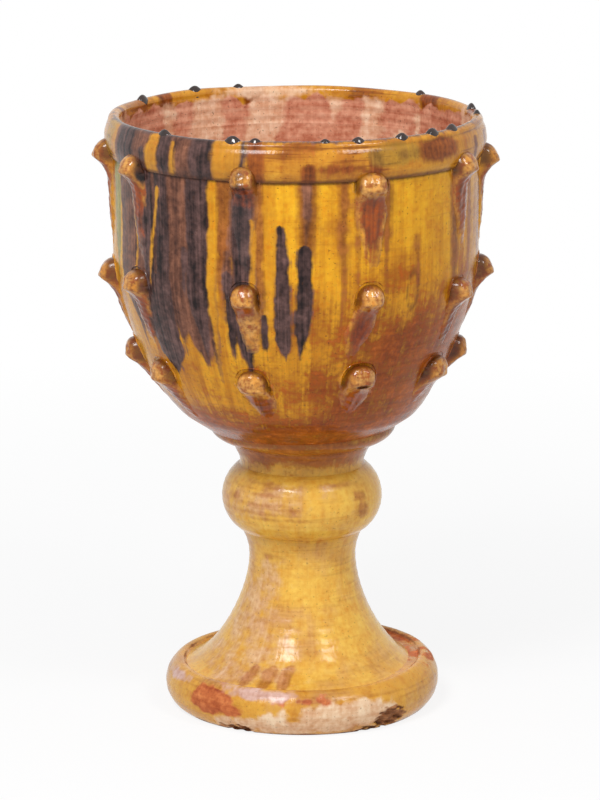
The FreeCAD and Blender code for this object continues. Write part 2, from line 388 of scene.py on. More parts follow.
# Bands round the front of the rim, from the left to the right.
RIM_MARKS: Marks = (
    Run(Mark.MOSS, -76.0, 26, OVER_RIM, 500),
    Run(Mark.UMBER, -59.0, 58, OVER_RIM, 500),
    Run(Mark.MANGANESE, -62.0, 30, OVER_RIM, 500),
    Run(Mark.MANGANESE, -52.0, 8, 556, 500),
    Run(Mark.HONEY, -47.4, 13, 562, 500),
    Run(Mark.UMBER, -38.0, 46, OVER_RIM, 500),
    Run(Mark.MANGANESE, -42.4, 16, OVER_RIM, 500),
    Run(Mark.HONEY, -39.0, 4.5, 566, 500),
    Run(Mark.MANGANESE, -28.4, 24, OVER_RIM, 500),
    Run(Mark.HONEY, -20.6, 25, OVER_RIM, 500),
    Run(Mark.MANGANESE, -15.6, 7, OVER_RIM, 500),
    Run(Mark.RUST, -12.0, 15, OVER_RIM, 500),
    Run(Mark.RUST, 4.2, 15, 552, 480),
    Run(Mark.RUST, 24.0, 13, 562, 480),
    *patches(Mark.MOSS, (31.0, 556, 56, 22)),
    *patches(Mark.RUST, (33.5, 555, 15, 9), (47.0, 556, 62, 22), (14.0, 546, 46, 7)),
    Run(Mark.RUST, 68.0, 11, 560, 480),
    Run(Mark.RUST, 79.0, 10, 560, 480),
    *patches(Mark.SLIP, (-169.0, 567, 76, 14)),
)

# Pale slip that ran down the bare inside.
INSIDE_MARKS: Marks = (
    Run(Mark.SLIP, -131.0, 15, OVER_RIM, 478, drift=-3.0, tail=0.4),
    Run(Mark.SLIP, -149.5, 34, OVER_RIM, 470, drift=2.0, tail=0.15),
    Run(Mark.SLIP, -174.0, 34, OVER_RIM, 490, drift=8.0, tail=0.15),
    Run(Mark.SLIP, 167.0, 18, OVER_RIM, 532, tail=0.5),
    Run(Mark.SLIP, 150.0, 22, OVER_RIM, 470, drift=6.0, tail=0.2),
    Run(Mark.SLIP, 134.0, 4, 562, 518),
    Run(Mark.SLIP, 142.0, 26, 530, 440, tail=0.3),
    Run(Mark.SLIP, 100.0, 40, OVER_RIM, 430, tail=0.2),
    Run(Mark.SLIP, 62.0, 56, OVER_RIM, 470, tail=0.2),
    Run(Mark.SLIP, 24.0, 40, OVER_RIM, 410, tail=0.2),
    Run(Mark.SLIP, -12.0, 36, OVER_RIM, 480, tail=0.3),
    Run(Mark.SLIP, -50.0, 60, OVER_RIM, 450, tail=0.2),
    Run(Mark.SLIP, -95.0, 46, OVER_RIM, 420, tail=0.2),
)


def back_marks(seed: int, first: float, last: float, pitch: float) -> Marks:
    """Runs on the side that the photograph hides, of the kinds and sizes that the seen side has.

    Args:
        seed: Seed of their kinds, widths and lengths.
        first: Azimuth of the first run.
        last: Azimuth that the runs stop at.
        pitch: Mean angle between neighbours.

    Returns:
        The runs.
    """
    rng = np.random.default_rng(seed)
    kinds = (Mark.RUST, Mark.MANGANESE, Mark.UMBER, Mark.RUST, Mark.HONEY, Mark.UMBER)
    heads, tails, widths = (450.0, 520.0), (345.0, 430.0), (7.0, 26.0)
    shifts, drifts = (-0.3, 0.3), (-1.5, 1.5)
    runs = []
    for i, azimuth in enumerate(np.arange(first, last, pitch)):
        top = rng.choice((OVER_RIM, OVER_RIM, rng.uniform(*heads)))
        bottom = rng.uniform(*tails)
        turn = azimuth + rng.uniform(*shifts) * pitch
        runs.append(Run(kinds[i % len(kinds)], turn, rng.uniform(*widths), top, bottom, rng.uniform(*drifts)))
    return tuple(runs)


WALL_MARKS = FRONT_MARKS + back_marks(5, 92.0, 272.0, 6.5)
RIM_ALL_MARKS = RIM_MARKS + back_marks(8, 95.0, 268.0, 11.0)


@dataclass(frozen=True)
class Layer:
    """A colour that lies over the glaze beneath it wherever its mark is deep enough.

    Attributes:
        mark: Mark that it follows.
        tones: Two sRGB colours that it streaks between.
        edge: Millimetres over which it fades, to either side of its edge.
        wander: Millimetres that its edge wanders.
        cover: Share of the colour beneath that it hides.
        roughness: Roughness where it lies.
        streaky: How far it streaks with the flow of the glaze; without, it lies in blotches and brush lines.
        inset: Millimetres that its edge lies inside its mark's.
        dapple: How strongly it dapples between its colours, in spots of a few millimetres.
    """

    mark: Mark
    tones: tuple[str, str]
    edge: float = 1.6
    wander: float = 2.0
    cover: float = 1.0
    roughness: float = 0.22
    streaky: float = 1.0
    inset: float = 0.0
    dapple: float = 0.6


def add_node(tree: Tree, kind: str, inputs: dict[str | int, object] | None = None,
             **settings: str | bool) -> bpy.types.Node:
    """Adds a node with its settings, and sets or links its inputs.

    Args:
        tree: Node tree to add it to.
        kind: Type name of the node.
        inputs: Constants or output sockets by the name or number of the input that takes them.
        settings: Properties of the node.

    Returns:
        The new node.
    """
    node = tree.nodes.new(kind)
    for name, value in settings.items():
        setattr(node, name, value)
    for key, value in (inputs or {}).items():
        if isinstance(value, Socket):
            tree.links.new(value, node.inputs[key])
        else:
            node.inputs[key].default_value = value
    return node


@dataclass(frozen=True)
class Patterns:
    """Patterns of a glaze, each from 0 to 1 with its middle near a half.

    Attributes:
        flow: Broad streaks along the flow of the glaze.
        fine: Fine streaks along it.
        brush: Level lines of the brush and the wheel.
        cloud: Soft clouds of a few centimetres.
        lump: Blotches of about a centimetre.
        mottle: Mottling of a few millimetres.
    """

    flow: Socket
    fine: Socket
    brush: Socket
    cloud: Socket
    lump: Socket
    mottle: Socket


@dataclass(frozen=True)
class GlazedEarthenware:
    """Lead-glazed earthenware: a glassy coat of honey colour that pools brown, over slip on red clay.

    To the eye it is deep and wet, with soft window highlights, colour that streaks with the flow of the
    glaze and mottles where it is thin, and fine dark specks where iron came through.

    Attributes:
        name: Name of the material.
        axis_x: Axis that the streaks run about, in millimetres.
        wall: Radius at which the streaks have their true width, in millimetres.
        glaze: Colours of the thin, the thick and the clouded glaze.
        scorched: Two colours of the glaze that fired brown, where the scorch attribute is high; they also paint the
            shade that the attribute carries on the stubs and at the knop's joint with the stem.
        layers: Colours over it, from the lowest to the topmost.
        streaking: How strongly the streaks part thin from thick glaze.
        specks: Share of the colour that an iron speck hides.
        brushing: Strength of the brown lines that the brush left round the piece.
        roughness: Roughness of the glaze.
        ior: Index of refraction, which sets how bright its highlights are.
        iron: Colour of the iron specks.
        speck: Distance between specks, in millimetres.
        speck_ends: Noise at which a speck begins and is complete.
        ripple: Depth of the glaze's ripples and brush lines, in millimetres.
    """

    name: str
    axis_x: float
    wall: float
    glaze: tuple[str, str, str]
    scorched: tuple[str, str]
    layers: tuple[Layer, ...]
    streaking: float = 1.0
    specks: float = 0.52
    brushing: float = 0.4
    roughness: float = 0.2
    ior: float = 1.34
    iron: str = "#4a2812"
    speck: float = 2.4
    speck_ends: Point = (0.67, 0.76)
    ripple: float = 0.9

    def make(self) -> bpy.types.Material:
        """Builds the material.

        Returns:
            The material with all its nodes.
        """
        material = bpy.data.materials.new(self.name)
        material.use_nodes = True
        tree = material.node_tree
        tree.nodes.clear()
        place = add_node(tree, "ShaderNodeTexCoord").outputs["Object"]
        blotches = {
            name: add_node(tree, "ShaderNodeTexNoise",
                           {"Vector": place, "Scale": 1.0 / (size * MM), "Detail": 4.0}).outputs["Fac"]
            for name, size in {"cloud": 48.0, "lump": 15.0, "mottle": 4.5}.items()
        }
        patterns = Patterns(
            flow=self._streaks(tree, place, width=11.0, length=130.0),
            fine=self._streaks(tree, place, width=3.0, length=70.0),
            brush=self._streaks(tree, place, width=70.0, length=3.0),
            **blotches,
        )
        colour = self._ground(tree, patterns)
        roughness = add_node(
            tree, "ShaderNodeMapRange",
            {"Value": patterns.lump, "From Min": 0.3, "From Max": 0.7, "To Min": self.roughness * 0.7,
             "To Max": self.roughness * 1.4},
        ).outputs["Result"]
        for layer in self.layers:
            colour, roughness = self._lay(tree, layer, colour, roughness, patterns)
        colour = self._mottled(tree, place, colour, patterns)
        self._surface(tree, colour, roughness, patterns)
        return material

    def _streaks(self, tree: Tree, place: Socket, width: float, length: float) -> Socket:
        """Noise that is stretched along or across the flow and follows it round the axis without a seam.

        The noise is read at the unit direction away from the axis times the wall's radius, and at the height.

        Args:
            tree: Node tree to add to.
            place: Object coordinates in metres.
            width: Size of the pattern round the piece, in millimetres.
            length: Its size up the piece.

        Returns:
            Value from 0 to 1.
        """
        round_share = self.wall / width
        outward = add_node(tree, "ShaderNodeVectorMath", {0: place, 1: (self.axis_x * MM, 0.0, 0.0)},
                           operation="SUBTRACT").outputs["Vector"]
        level = add_node(tree, "ShaderNodeVectorMath", {0: outward, 1: (1.0, 1.0, 0.0)},
                         operation="MULTIPLY").outputs["Vector"]
        ring = add_node(tree, "ShaderNodeVectorMath", {0: level}, operation="NORMALIZE").outputs["Vector"]
        upright = add_node(tree, "ShaderNodeVectorMath", {0: place, 1: (0.0, 0.0, 1.0 / (length * MM))},
                           operation="MULTIPLY").outputs["Vector"]
        followed = add_node(tree, "ShaderNodeVectorMath",
                            {0: ring, 1: (round_share, round_share, 0.0), 2: upright},
                            operation="MULTIPLY_ADD").outputs["Vector"]
        noise = add_node(tree, "ShaderNodeTexNoise", {"Vector": followed, "Scale": 1.0, "Detail": 3.0})
        return noise.outputs["Fac"]

    def _weighed(self, tree: Tree, start: Socket | float, terms: dict[Socket, float]) -> Socket:
        """Start plus each pattern's distance from a half times its weight.

        Args:
            tree: Node tree to add to.
            start: Value to start from.
            terms: Weights by pattern.

        Returns:
            The sum.
        """
        total = start
        for pattern, weight in terms.items():
            centred = add_node(tree, "ShaderNodeMath", {0: pattern, 1: 0.5}, operation="SUBTRACT").outputs["Value"]
            total = add_node(tree, "ShaderNodeMath", {0: centred, 1: weight, 2: total},
                             operation="MULTIPLY_ADD").outputs["Value"]
        return total

    def _coat(self, tree: Tree, beneath: Socket | Colour, over: Socket | Colour, value: Socket, ends: Point,
              cover: float = 1.0) -> tuple[Socket, Socket]:
        """Lays one colour over another where a value is high.

        Args:
            tree: Node tree to add to.
            beneath: Colour beneath.
            over: Colour to lay.
            value: Value that says where it lies.
            ends: Values at which it begins and is complete.
            cover: Share of the colour beneath that it then hides.

        Returns:
            The colour with the coat, and the share that the coat hides.
        """
        share = add_node(tree, "ShaderNodeMapRange",
                         {"Value": value, "From Min": ends[0], "From Max": ends[1], "To Max": cover},
                         interpolation_type="SMOOTHSTEP").outputs["Result"]
        mixed = add_node(tree, "ShaderNodeMix", {0: share, 6: beneath, 7: over}, data_type="RGBA").outputs[2]
        return mixed, share

    def _ground(self, tree: Tree, patterns: Patterns) -> Socket:
        """Thin, thick and clouded glaze, going over to scorched brown in blotches, and to painted shade where the
        scorch attribute carries it, with level brush lines.

        Args:
            tree: Node tree to add to.
            patterns: Patterns of the glaze.

        Returns:
            Colour of the glaze.
        """
        thin, thick, clouded = self.glaze
        run = self._weighed(tree, 0.5, {patterns.flow: 2.4 * self.streaking, patterns.fine: 1.1 * self.streaking,
                                        patterns.cloud: 0.8})
        glaze, _ = self._coat(tree, linear(thin), linear(thick), run, ends=(0.1, 1.0))
        haze = self._weighed(tree, 0.5, {patterns.cloud: 2.2, patterns.lump: 1.0, patterns.flow: 0.6})
        glaze, _ = self._coat(tree, glaze, linear(clouded), haze, ends=(0.45, 1.1), cover=0.75)
        scorch = add_node(tree, "ShaderNodeAttribute", attribute_name=Mark.SCORCH_AND_SHADE.value).outputs["Fac"]
        browning_and_shade = self._weighed(tree, scorch, {patterns.cloud: 1.0, patterns.lump: 1.1, patterns.fine: 0.7,
                                             patterns.mottle: 1.3})
        tone = self._weighed(tree, 0.5, {patterns.lump: 1.6, patterns.brush: 1.6, patterns.mottle: 1.0})
        dark, light = (linear(brown) for brown in self.scorched)
        brown = add_node(tree, "ShaderNodeMix", {0: tone, 6: dark, 7: light}, data_type="RGBA",
                         clamp_factor=True).outputs[2]
        colour, _ = self._coat(tree, glaze, brown, browning_and_shade, ends=(0.2, 1.0), cover=0.94)
        line = self._weighed(tree, 0.5, {patterns.brush: 1.6, patterns.cloud: 1.2})
        colour, _ = self._coat(tree, colour, dark, line, ends=(0.55, 0.85), cover=self.brushing)
        return colour

    def _lay(self, tree: Tree, layer: Layer, colour: Socket, roughness: Socket,
             patterns: Patterns) -> tuple[Socket, Socket]:
        """Lays one layer over the colour beneath, inside its mark's wandering edge.

        Args:
            tree: Node tree to add to.
            layer: Layer to lay.
            colour: Colour beneath.
            roughness: Roughness beneath.
            patterns: Patterns of the glaze.

        Returns:
            Colour and roughness with the layer.
        """
        depth = add_node(tree, "ShaderNodeAttribute", attribute_name=layer.mark.value).outputs["Fac"]
        edge = self._weighed(tree, depth, {patterns.lump: 4.0 * layer.wander,
                                           patterns.fine: 2.0 * layer.wander * layer.streaky})
        mix = self._weighed(tree, 0.5, {patterns.fine: 1.6 * layer.streaky, patterns.flow: 1.6 * layer.streaky,
                                        patterns.lump: 1.6, patterns.mottle: layer.dapple,
                                        patterns.brush: 1.6 * (1.0 - layer.streaky)})
        tone = add_node(tree, "ShaderNodeMix",
                        {0: mix, 6: linear(layer.tones[0]), 7: linear(layer.tones[1])},
                        data_type="RGBA", clamp_factor=True).outputs[2]
        ends = (layer.inset - layer.edge, layer.inset + layer.edge)
        over, share = self._coat(tree, colour, tone, edge, ends, layer.cover)
        rough = add_node(tree, "ShaderNodeMix", {0: share, 2: roughness, 3: layer.roughness}).outputs[0]
        return over, rough

    def _mottled(self, tree: Tree, place: Socket, colour: Socket, patterns: Patterns) -> Socket:
        """Light and dark mottling, and iron specks of one to two millimetres.

        Args:
            tree: Node tree to add to.
            place: Object coordinates in metres.
            colour: Colour beneath.
            patterns: Patterns of the glaze.

        Returns:
            Finished colour.
        """
        shade = self._weighed(tree, 0.5, {patterns.mottle: 0.9, patterns.lump: 0.8, patterns.fine: 0.5})
        colour = add_node(tree, "ShaderNodeMix", {0: 0.75, 6: colour, 7: shade}, data_type="RGBA",
                          blend_type="SOFT_LIGHT").outputs[2]
        grit = add_node(tree, "ShaderNodeTexNoise",
                        {"Vector": place, "Scale": 1.0 / (self.speck * MM), "Detail": 1.0}).outputs["Fac"]
        colour, _ = self._coat(tree, colour, linear(self.iron), grit, self.speck_ends, self.specks)
        return colour

    def _surface(self, tree: Tree, colour: Socket, roughness: Socket, patterns: Patterns) -> None:
        """Joins the colour to a glassy shader with the fine relief of brush lines and glaze ripples.

        Args:
            tree: Node tree to add to.
            colour: Finished colour.
            roughness: Finished roughness.
            patterns: Patterns of the glaze.
        """
        relief = self._weighed(tree, 0.5, {patterns.lump: 1.6, patterns.mottle: 0.5, patterns.brush: 0.35,
                                           patterns.fine: 0.4})
        bump = add_node(tree, "ShaderNodeBump", {"Strength": 0.4, "Distance": self.ripple * MM, "Height": relief})
        shader = add_node(
            tree, "ShaderNodeBsdfPrincipled",
            {"Base Color": colour, "Roughness": roughness, "IOR": self.ior, "Normal": bump.outputs["Normal"]},
        )
        add_node(tree, "ShaderNodeOutputMaterial", {"Surface": shader.outputs["BSDF"]})


# Manganese runs: a brown-black glaze that goes purple where it is thin
MANGANESE = Layer(Mark.MANGANESE, ("#261a1a", "#644843"), edge=1.6)
# Umber runs: the same glaze thinned to mauve brown
UMBER = Layer(Mark.UMBER, ("#56352a", "#84553f"), edge=2.4, wander=2.6)
# Rust runs: iron that burnt orange brown
RUST = Layer(Mark.RUST, ("#743616", "#985629"), edge=4.0, wander=3.0, cover=0.85)
# Honey runs: clear lead glaze over white slip
HONEY = Layer(Mark.HONEY, ("#e2a022", "#bd7c1c"), edge=1.8, wander=2.0, cover=0.92)
# Copper runs: a breath of green
MOSS = Layer(Mark.MOSS, ("#66742a", "#8e8a38"), edge=2.6, wander=3.0, cover=0.85)
# Dark brown in corners and joints, round the stubs and in their slots: glaze that pooled there, and painted shade;
# also the outline of a dried drop
CREASE = Layer(Mark.CREASE, ("#35180c", "#5a2d14"), edge=1.8, wander=1.0, cover=0.75)
# Bare red clay, matt
CLAY = Layer(Mark.CLAY, ("#bc7253", "#d8997b"), edge=1.4, wander=4.0, roughness=0.6, streaky=0.0)
# Bare red clay that the foot wore down to
RED = replace(CLAY, tones=("#a0481e", "#cc7440"))
# Pale slip, a thin wash of white clay over the red
SLIP = Layer(Mark.SLIP, ("#dca882", "#f0caa8"), edge=3.4, wander=4.5, cover=0.8, roughness=0.5, streaky=0.1)
# Bare buff clay where the glaze wore off
CREAM = Layer(Mark.CREAM, ("#d6a67c", "#e6c6a2"), edge=2.4, wander=5.0, roughness=0.55, streaky=0.0)
# Amber glaze that drained from the stubs
KNOB = Layer(Mark.KNOB, ("#da983c", "#8a4416"), edge=2.0, wander=2.6, cover=0.92, roughness=0.12, streaky=0.7,
             dapple=3.4)
# Pale amber on the high points of their heads, where the glaze broke thin over slip
BREAK = Layer(Mark.KNOB, ("#ecb462", "#965020"), edge=1.8, wander=6.0, cover=0.62, roughness=0.1, streaky=0.3,
              inset=3.4, dapple=3.4)
# Red-brown glaze that pooled along the middle of their bodies
HORN = Layer(Mark.HORN, ("#6a2002", "#9c4406"), edge=2.6, wander=3.0, cover=0.92, roughness=0.14, streaky=0.8)
# Mauve veil on the pedestal, where manganese splashed thinly; two of its patches are also painted sheen round the
# lamp's highlights
VEIL = Layer(Mark.UMBER, ("#b88058", "#dab08e"), edge=8.0, wander=10.0, cover=0.72, streaky=0.3)
# Pale mauve along the foot's crest: mauve glaze, and a painted sheen of the lamps
SHEEN = Layer(Mark.UMBER, ("#c4988a", "#d6b0a6"), edge=1.6, wander=2.4, cover=0.9, roughness=0.18, streaky=0.0)
# Red-brown touches of the brush on the pedestal
TOUCH = Layer(Mark.RUST, ("#8e421a", "#b0642c"), edge=2.6, wander=3.0, cover=0.65, streaky=0.2)
# Dark brown going to pale raw clay in the chip and along the worn base edge, and painted shade in the crease at the
# stem's seat
CHIP_AND_SEAT_SHADE = Layer(Mark.CREASE, ("#3e1c0a", "#b4784c"), edge=1.0, wander=1.6, roughness=0.7, streaky=0.0)

# Bands of the rim, which ran into each other more softly than those on the wall
BANDS = tuple(
    replace(layer, edge=2.8, wander=3.0)
    for layer in (
        replace(RUST, tones=("#6a2c0c", "#904818"), cover=0.94),
        UMBER,
        replace(MOSS, cover=0.32),
        MANGANESE,
        replace(HONEY, tones=("#d4942a", "#a86c20")),
    )
)


class Finish(Enum):
    """The finishes of the planter, each the lead-glazed earthenware of one kind of piece."""

    BOWL = GlazedEarthenware(
        "honey_lead_glaze_with_manganese_runs", axis_x=0.0, wall=172.0,
        glaze=("#e6a622", "#c8841a", "#a8661c"), scorched=("#762a06", "#a44e12"),
        layers=(RUST, UMBER, MANGANESE, HONEY, MOSS, CREASE, CLAY, SLIP),
        streaking=0.9, brushing=0.15, ior=1.28,
    )
    RIM = GlazedEarthenware(
        "amber_lead_glaze_with_brush_lines", axis_x=0.0, wall=178.0,
        glaze=("#d6962b", "#b87421", "#a8621d"), scorched=("#7a3a0e", "#a85a1e"),
        layers=(*BANDS, CREASE, CLAY, SLIP),
        streaking=0.5, brushing=0.7, roughness=0.16,
    )
    STUB = replace(
        BOWL, name="honey_lead_glaze_on_pressed_clay", roughness=0.12, ior=1.4,
        layers=(RUST, UMBER, MANGANESE, HONEY, MOSS, KNOB, BREAK, HORN, CREASE),
    )
    PEDESTAL = GlazedEarthenware(
        "ochre_lead_glaze", axis_x=6.0, wall=75.0,
        glaze=("#eab84c", "#dca646", "#cf985a"), scorched=("#8a4210", "#a95c18"),
        layers=(VEIL, TOUCH, CLAY),
        streaking=0.35, specks=0.35, brushing=0.16, roughness=0.18,
    )
    FOOT = GlazedEarthenware(
        "worn_ochre_lead_glaze", axis_x=6.0, wall=125.0,
        glaze=("#dfa63e", "#c88a34", "#c8985e"), scorched=("#8f4a18", "#b86c26"),
        layers=(CREAM, RED, SHEEN, CHIP_AND_SEAT_SHADE),
        streaking=0.3, specks=0.35, brushing=0.25, roughness=0.22,
    )
    DROP = GlazedEarthenware(
        "manganese_glaze_bead", axis_x=0.0, wall=171.0,
        glaze=("#2c1f1c", "#3e2a22", "#2c1f1c"), scorched=("#2c1f1c", "#3e2a22"), layers=(),
        specks=0.0, brushing=0.0, roughness=0.07, ior=1.5,
    )


Materials = dict[Finish, bpy.types.Material]


def add_piece(node: str, points: Array, faces: Array, fields: Fields,
              material: bpy.types.Material) -> bpy.types.Object:
    """Makes a mesh object that stands for a CAD node and rides on the planter.

    Args:
        node: CAD node that it stands for.
        points: Rows of x, y, z in metres.
        faces: Rows of vertex numbers, with the last one repeated in a triangle.
        fields: Depths of its marks, which become vertex attributes.
        material: Its finish.

    Returns:
        The object.
    """
    name = f"{node}_glazed"
    mesh = bpy.data.meshes.new(name)
    corners = [row[:3] if row[2] == row[3] else row for row in faces.tolist()]
    mesh.from_pydata(points.tolist(), [], corners)
    for mark, values in fields.items():
        attribute = mesh.attributes.new(mark.value, "FLOAT", "POINT")
        attribute.data.foreach_set("value", np.ascontiguousarray(values, np.float32).ravel())
    mesh.polygons.foreach_set("use_smooth", np.ones(len(corners), bool))
    mesh.set_sharp_from_angle(angle=math.radians(SHARP_ANGLE))
    mesh.materials.append(material)
    mesh.validate()
    piece = bpy.data.objects.new(name, mesh)
    bpy.context.scene.collection.objects.link(piece)
    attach(piece, ROOT)
    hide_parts(node)
    LOG.info("%s: %d faces, stands for %s", name, len(corners), node)
    return piece


def ring_faces(rows: int, columns: int) -> Array:
    """Quads of a grid that closes on itself along its rows and round its columns, facing outwards."""
    row, column = np.meshgrid(np.arange(rows), np.arange(columns), indexing="ij")
    above, beside = (row + 1) % rows, (column + 1) % columns
    quads = [row * columns + column, row * columns + beside, above * columns + beside, above * columns + column]
    return np.stack([corner.ravel() for corner in quads], axis=1)


@dataclass(frozen=True)
class Extent:
    """Axis, largest radius, lowest and highest point of a CAD node, in millimetres."""

    axis_x: float
    radius: float
    low: float
    high: float

    @classmethod
    def of(cls, node: str) -> "Extent":
        """Reads the extent of a node from the frame."""
        low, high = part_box(node)
        return cls((low.x + high.x) / 2 / MM, (high.x - low.x) / 2 / MM, low.z / MM, high.z / MM)


Stretch = tuple[Array, bool]


@dataclass
class ThrownPiece:
    """A ring that was thrown on the wheel: a closed half-section turned about its axis.

    Attributes:
        node: CAD node that it stands for.
        slot: Name of its material slot in the record; not used.
        finish: Its finish.
        columns: Points round it.
        wobble: Millimetres that hand work puts it out of round.
        ridge: Millimetres that the throwing ridges rise.
        ridge_gap: Distance between the ridges.
        inner_ridge: How many times higher they rise inside.
        scorch_mean: How brown its glaze fired on the whole.
        scorch_sway: How far that varies over it.
        extent: Where its CAD node is.
    """

    node: str
    slot: str
    finish: Finish
    columns: int = 420
    wobble: float = 0.7
    ridge: float = 0.12
    ridge_gap: float = 9.0
    inner_ridge: float = 2.5
    scorch_mean: float = 0.0
    scorch_sway: float = 0.2
    extent: Extent = field(init=False)

    def __post_init__(self) -> None:
        """Reads where the piece is from the frame."""
        self.extent = Extent.of(self.node)

    def section(self) -> list[Stretch]:
        """Stretches of the half-section, up the outside and down the inside, each with whether it is inside."""
        raise NotImplementedError

    def fields(self, place: Place, inside: Array) -> Fields:
        """Depths of the marks at each place."""
        raise NotImplementedError

    def relief(self, place: Place, inside: Array, fields: Fields) -> Array:
        """Millimetres that hand work moves each place away from the axis.

        Slow unevenness plus throwing ridges, which climb one gap in each turn.

        Args:
            place: Places of the true section.
            inside: Whether each is on the inside.
            fields: Depths of the marks.

        Returns:
            Offsets of the radius.
        """
        slow = self.wobble * place.uneven(seed=11, span=160.0, lobes=4)
        climb = place.height / self.ridge_gap + place.azimuth / 360.0
        return slow + self.ridge * np.sin(math.tau * climb) * (1.0 + (self.inner_ridge - 1.0) * inside)

    def browned(self, place: Place, seed: int, span: float, lobes: int) -> Array:
        """How brown the glaze fired at each place, apart from what the joints add."""
        return self.scorch_mean + self.scorch_sway * place.uneven(seed, span, lobes)

    def lift(self, place: Place) -> Array:
        """Millimetres that hand work moves each place upwards."""
        return np.zeros(place.azimuth.shape)

    def build(self, materials: Materials) -> bpy.types.Object:
        """Turns the section, works the surface and makes the piece.

        Args:
            materials: Made materials by finish.

        Returns:
            The piece.
        """
        stretches = self.section()
        outline = np.concatenate([points[:-1] for points, _ in stretches])
        flags = np.concatenate([np.full(len(points) - 1, float(inner)) for points, inner in stretches])
        starts = np.cumsum([0] + [len(points) - 1 for points, _ in stretches[:-1]])
        flags[starts] = np.minimum(flags[starts], flags[starts - 1])
        azimuth = np.linspace(-180.0, 180.0, self.columns, endpoint=False)
        shape = (len(outline), self.columns)
        place = Place(
            np.broadcast_to(azimuth, shape),
            np.broadcast_to(outline[:, :1], shape),
            np.broadcast_to(outline[:, 1:], shape),
        )
        inside = np.broadcast_to(flags[:, None], shape)
        unmarked = {layer.mark: np.full(shape, NOWHERE) for layer in self.finish.value.layers}
        fields = unmarked | self.fields(place, inside)
        worked = Place(
            place.azimuth,
            place.radius + self.relief(place, inside, fields),
            place.height + self.lift(place),
        )
        points = worked.points(self.extent.axis_x)
        return add_piece(self.node, points, ring_faces(*shape), fields, materials[self.finish])


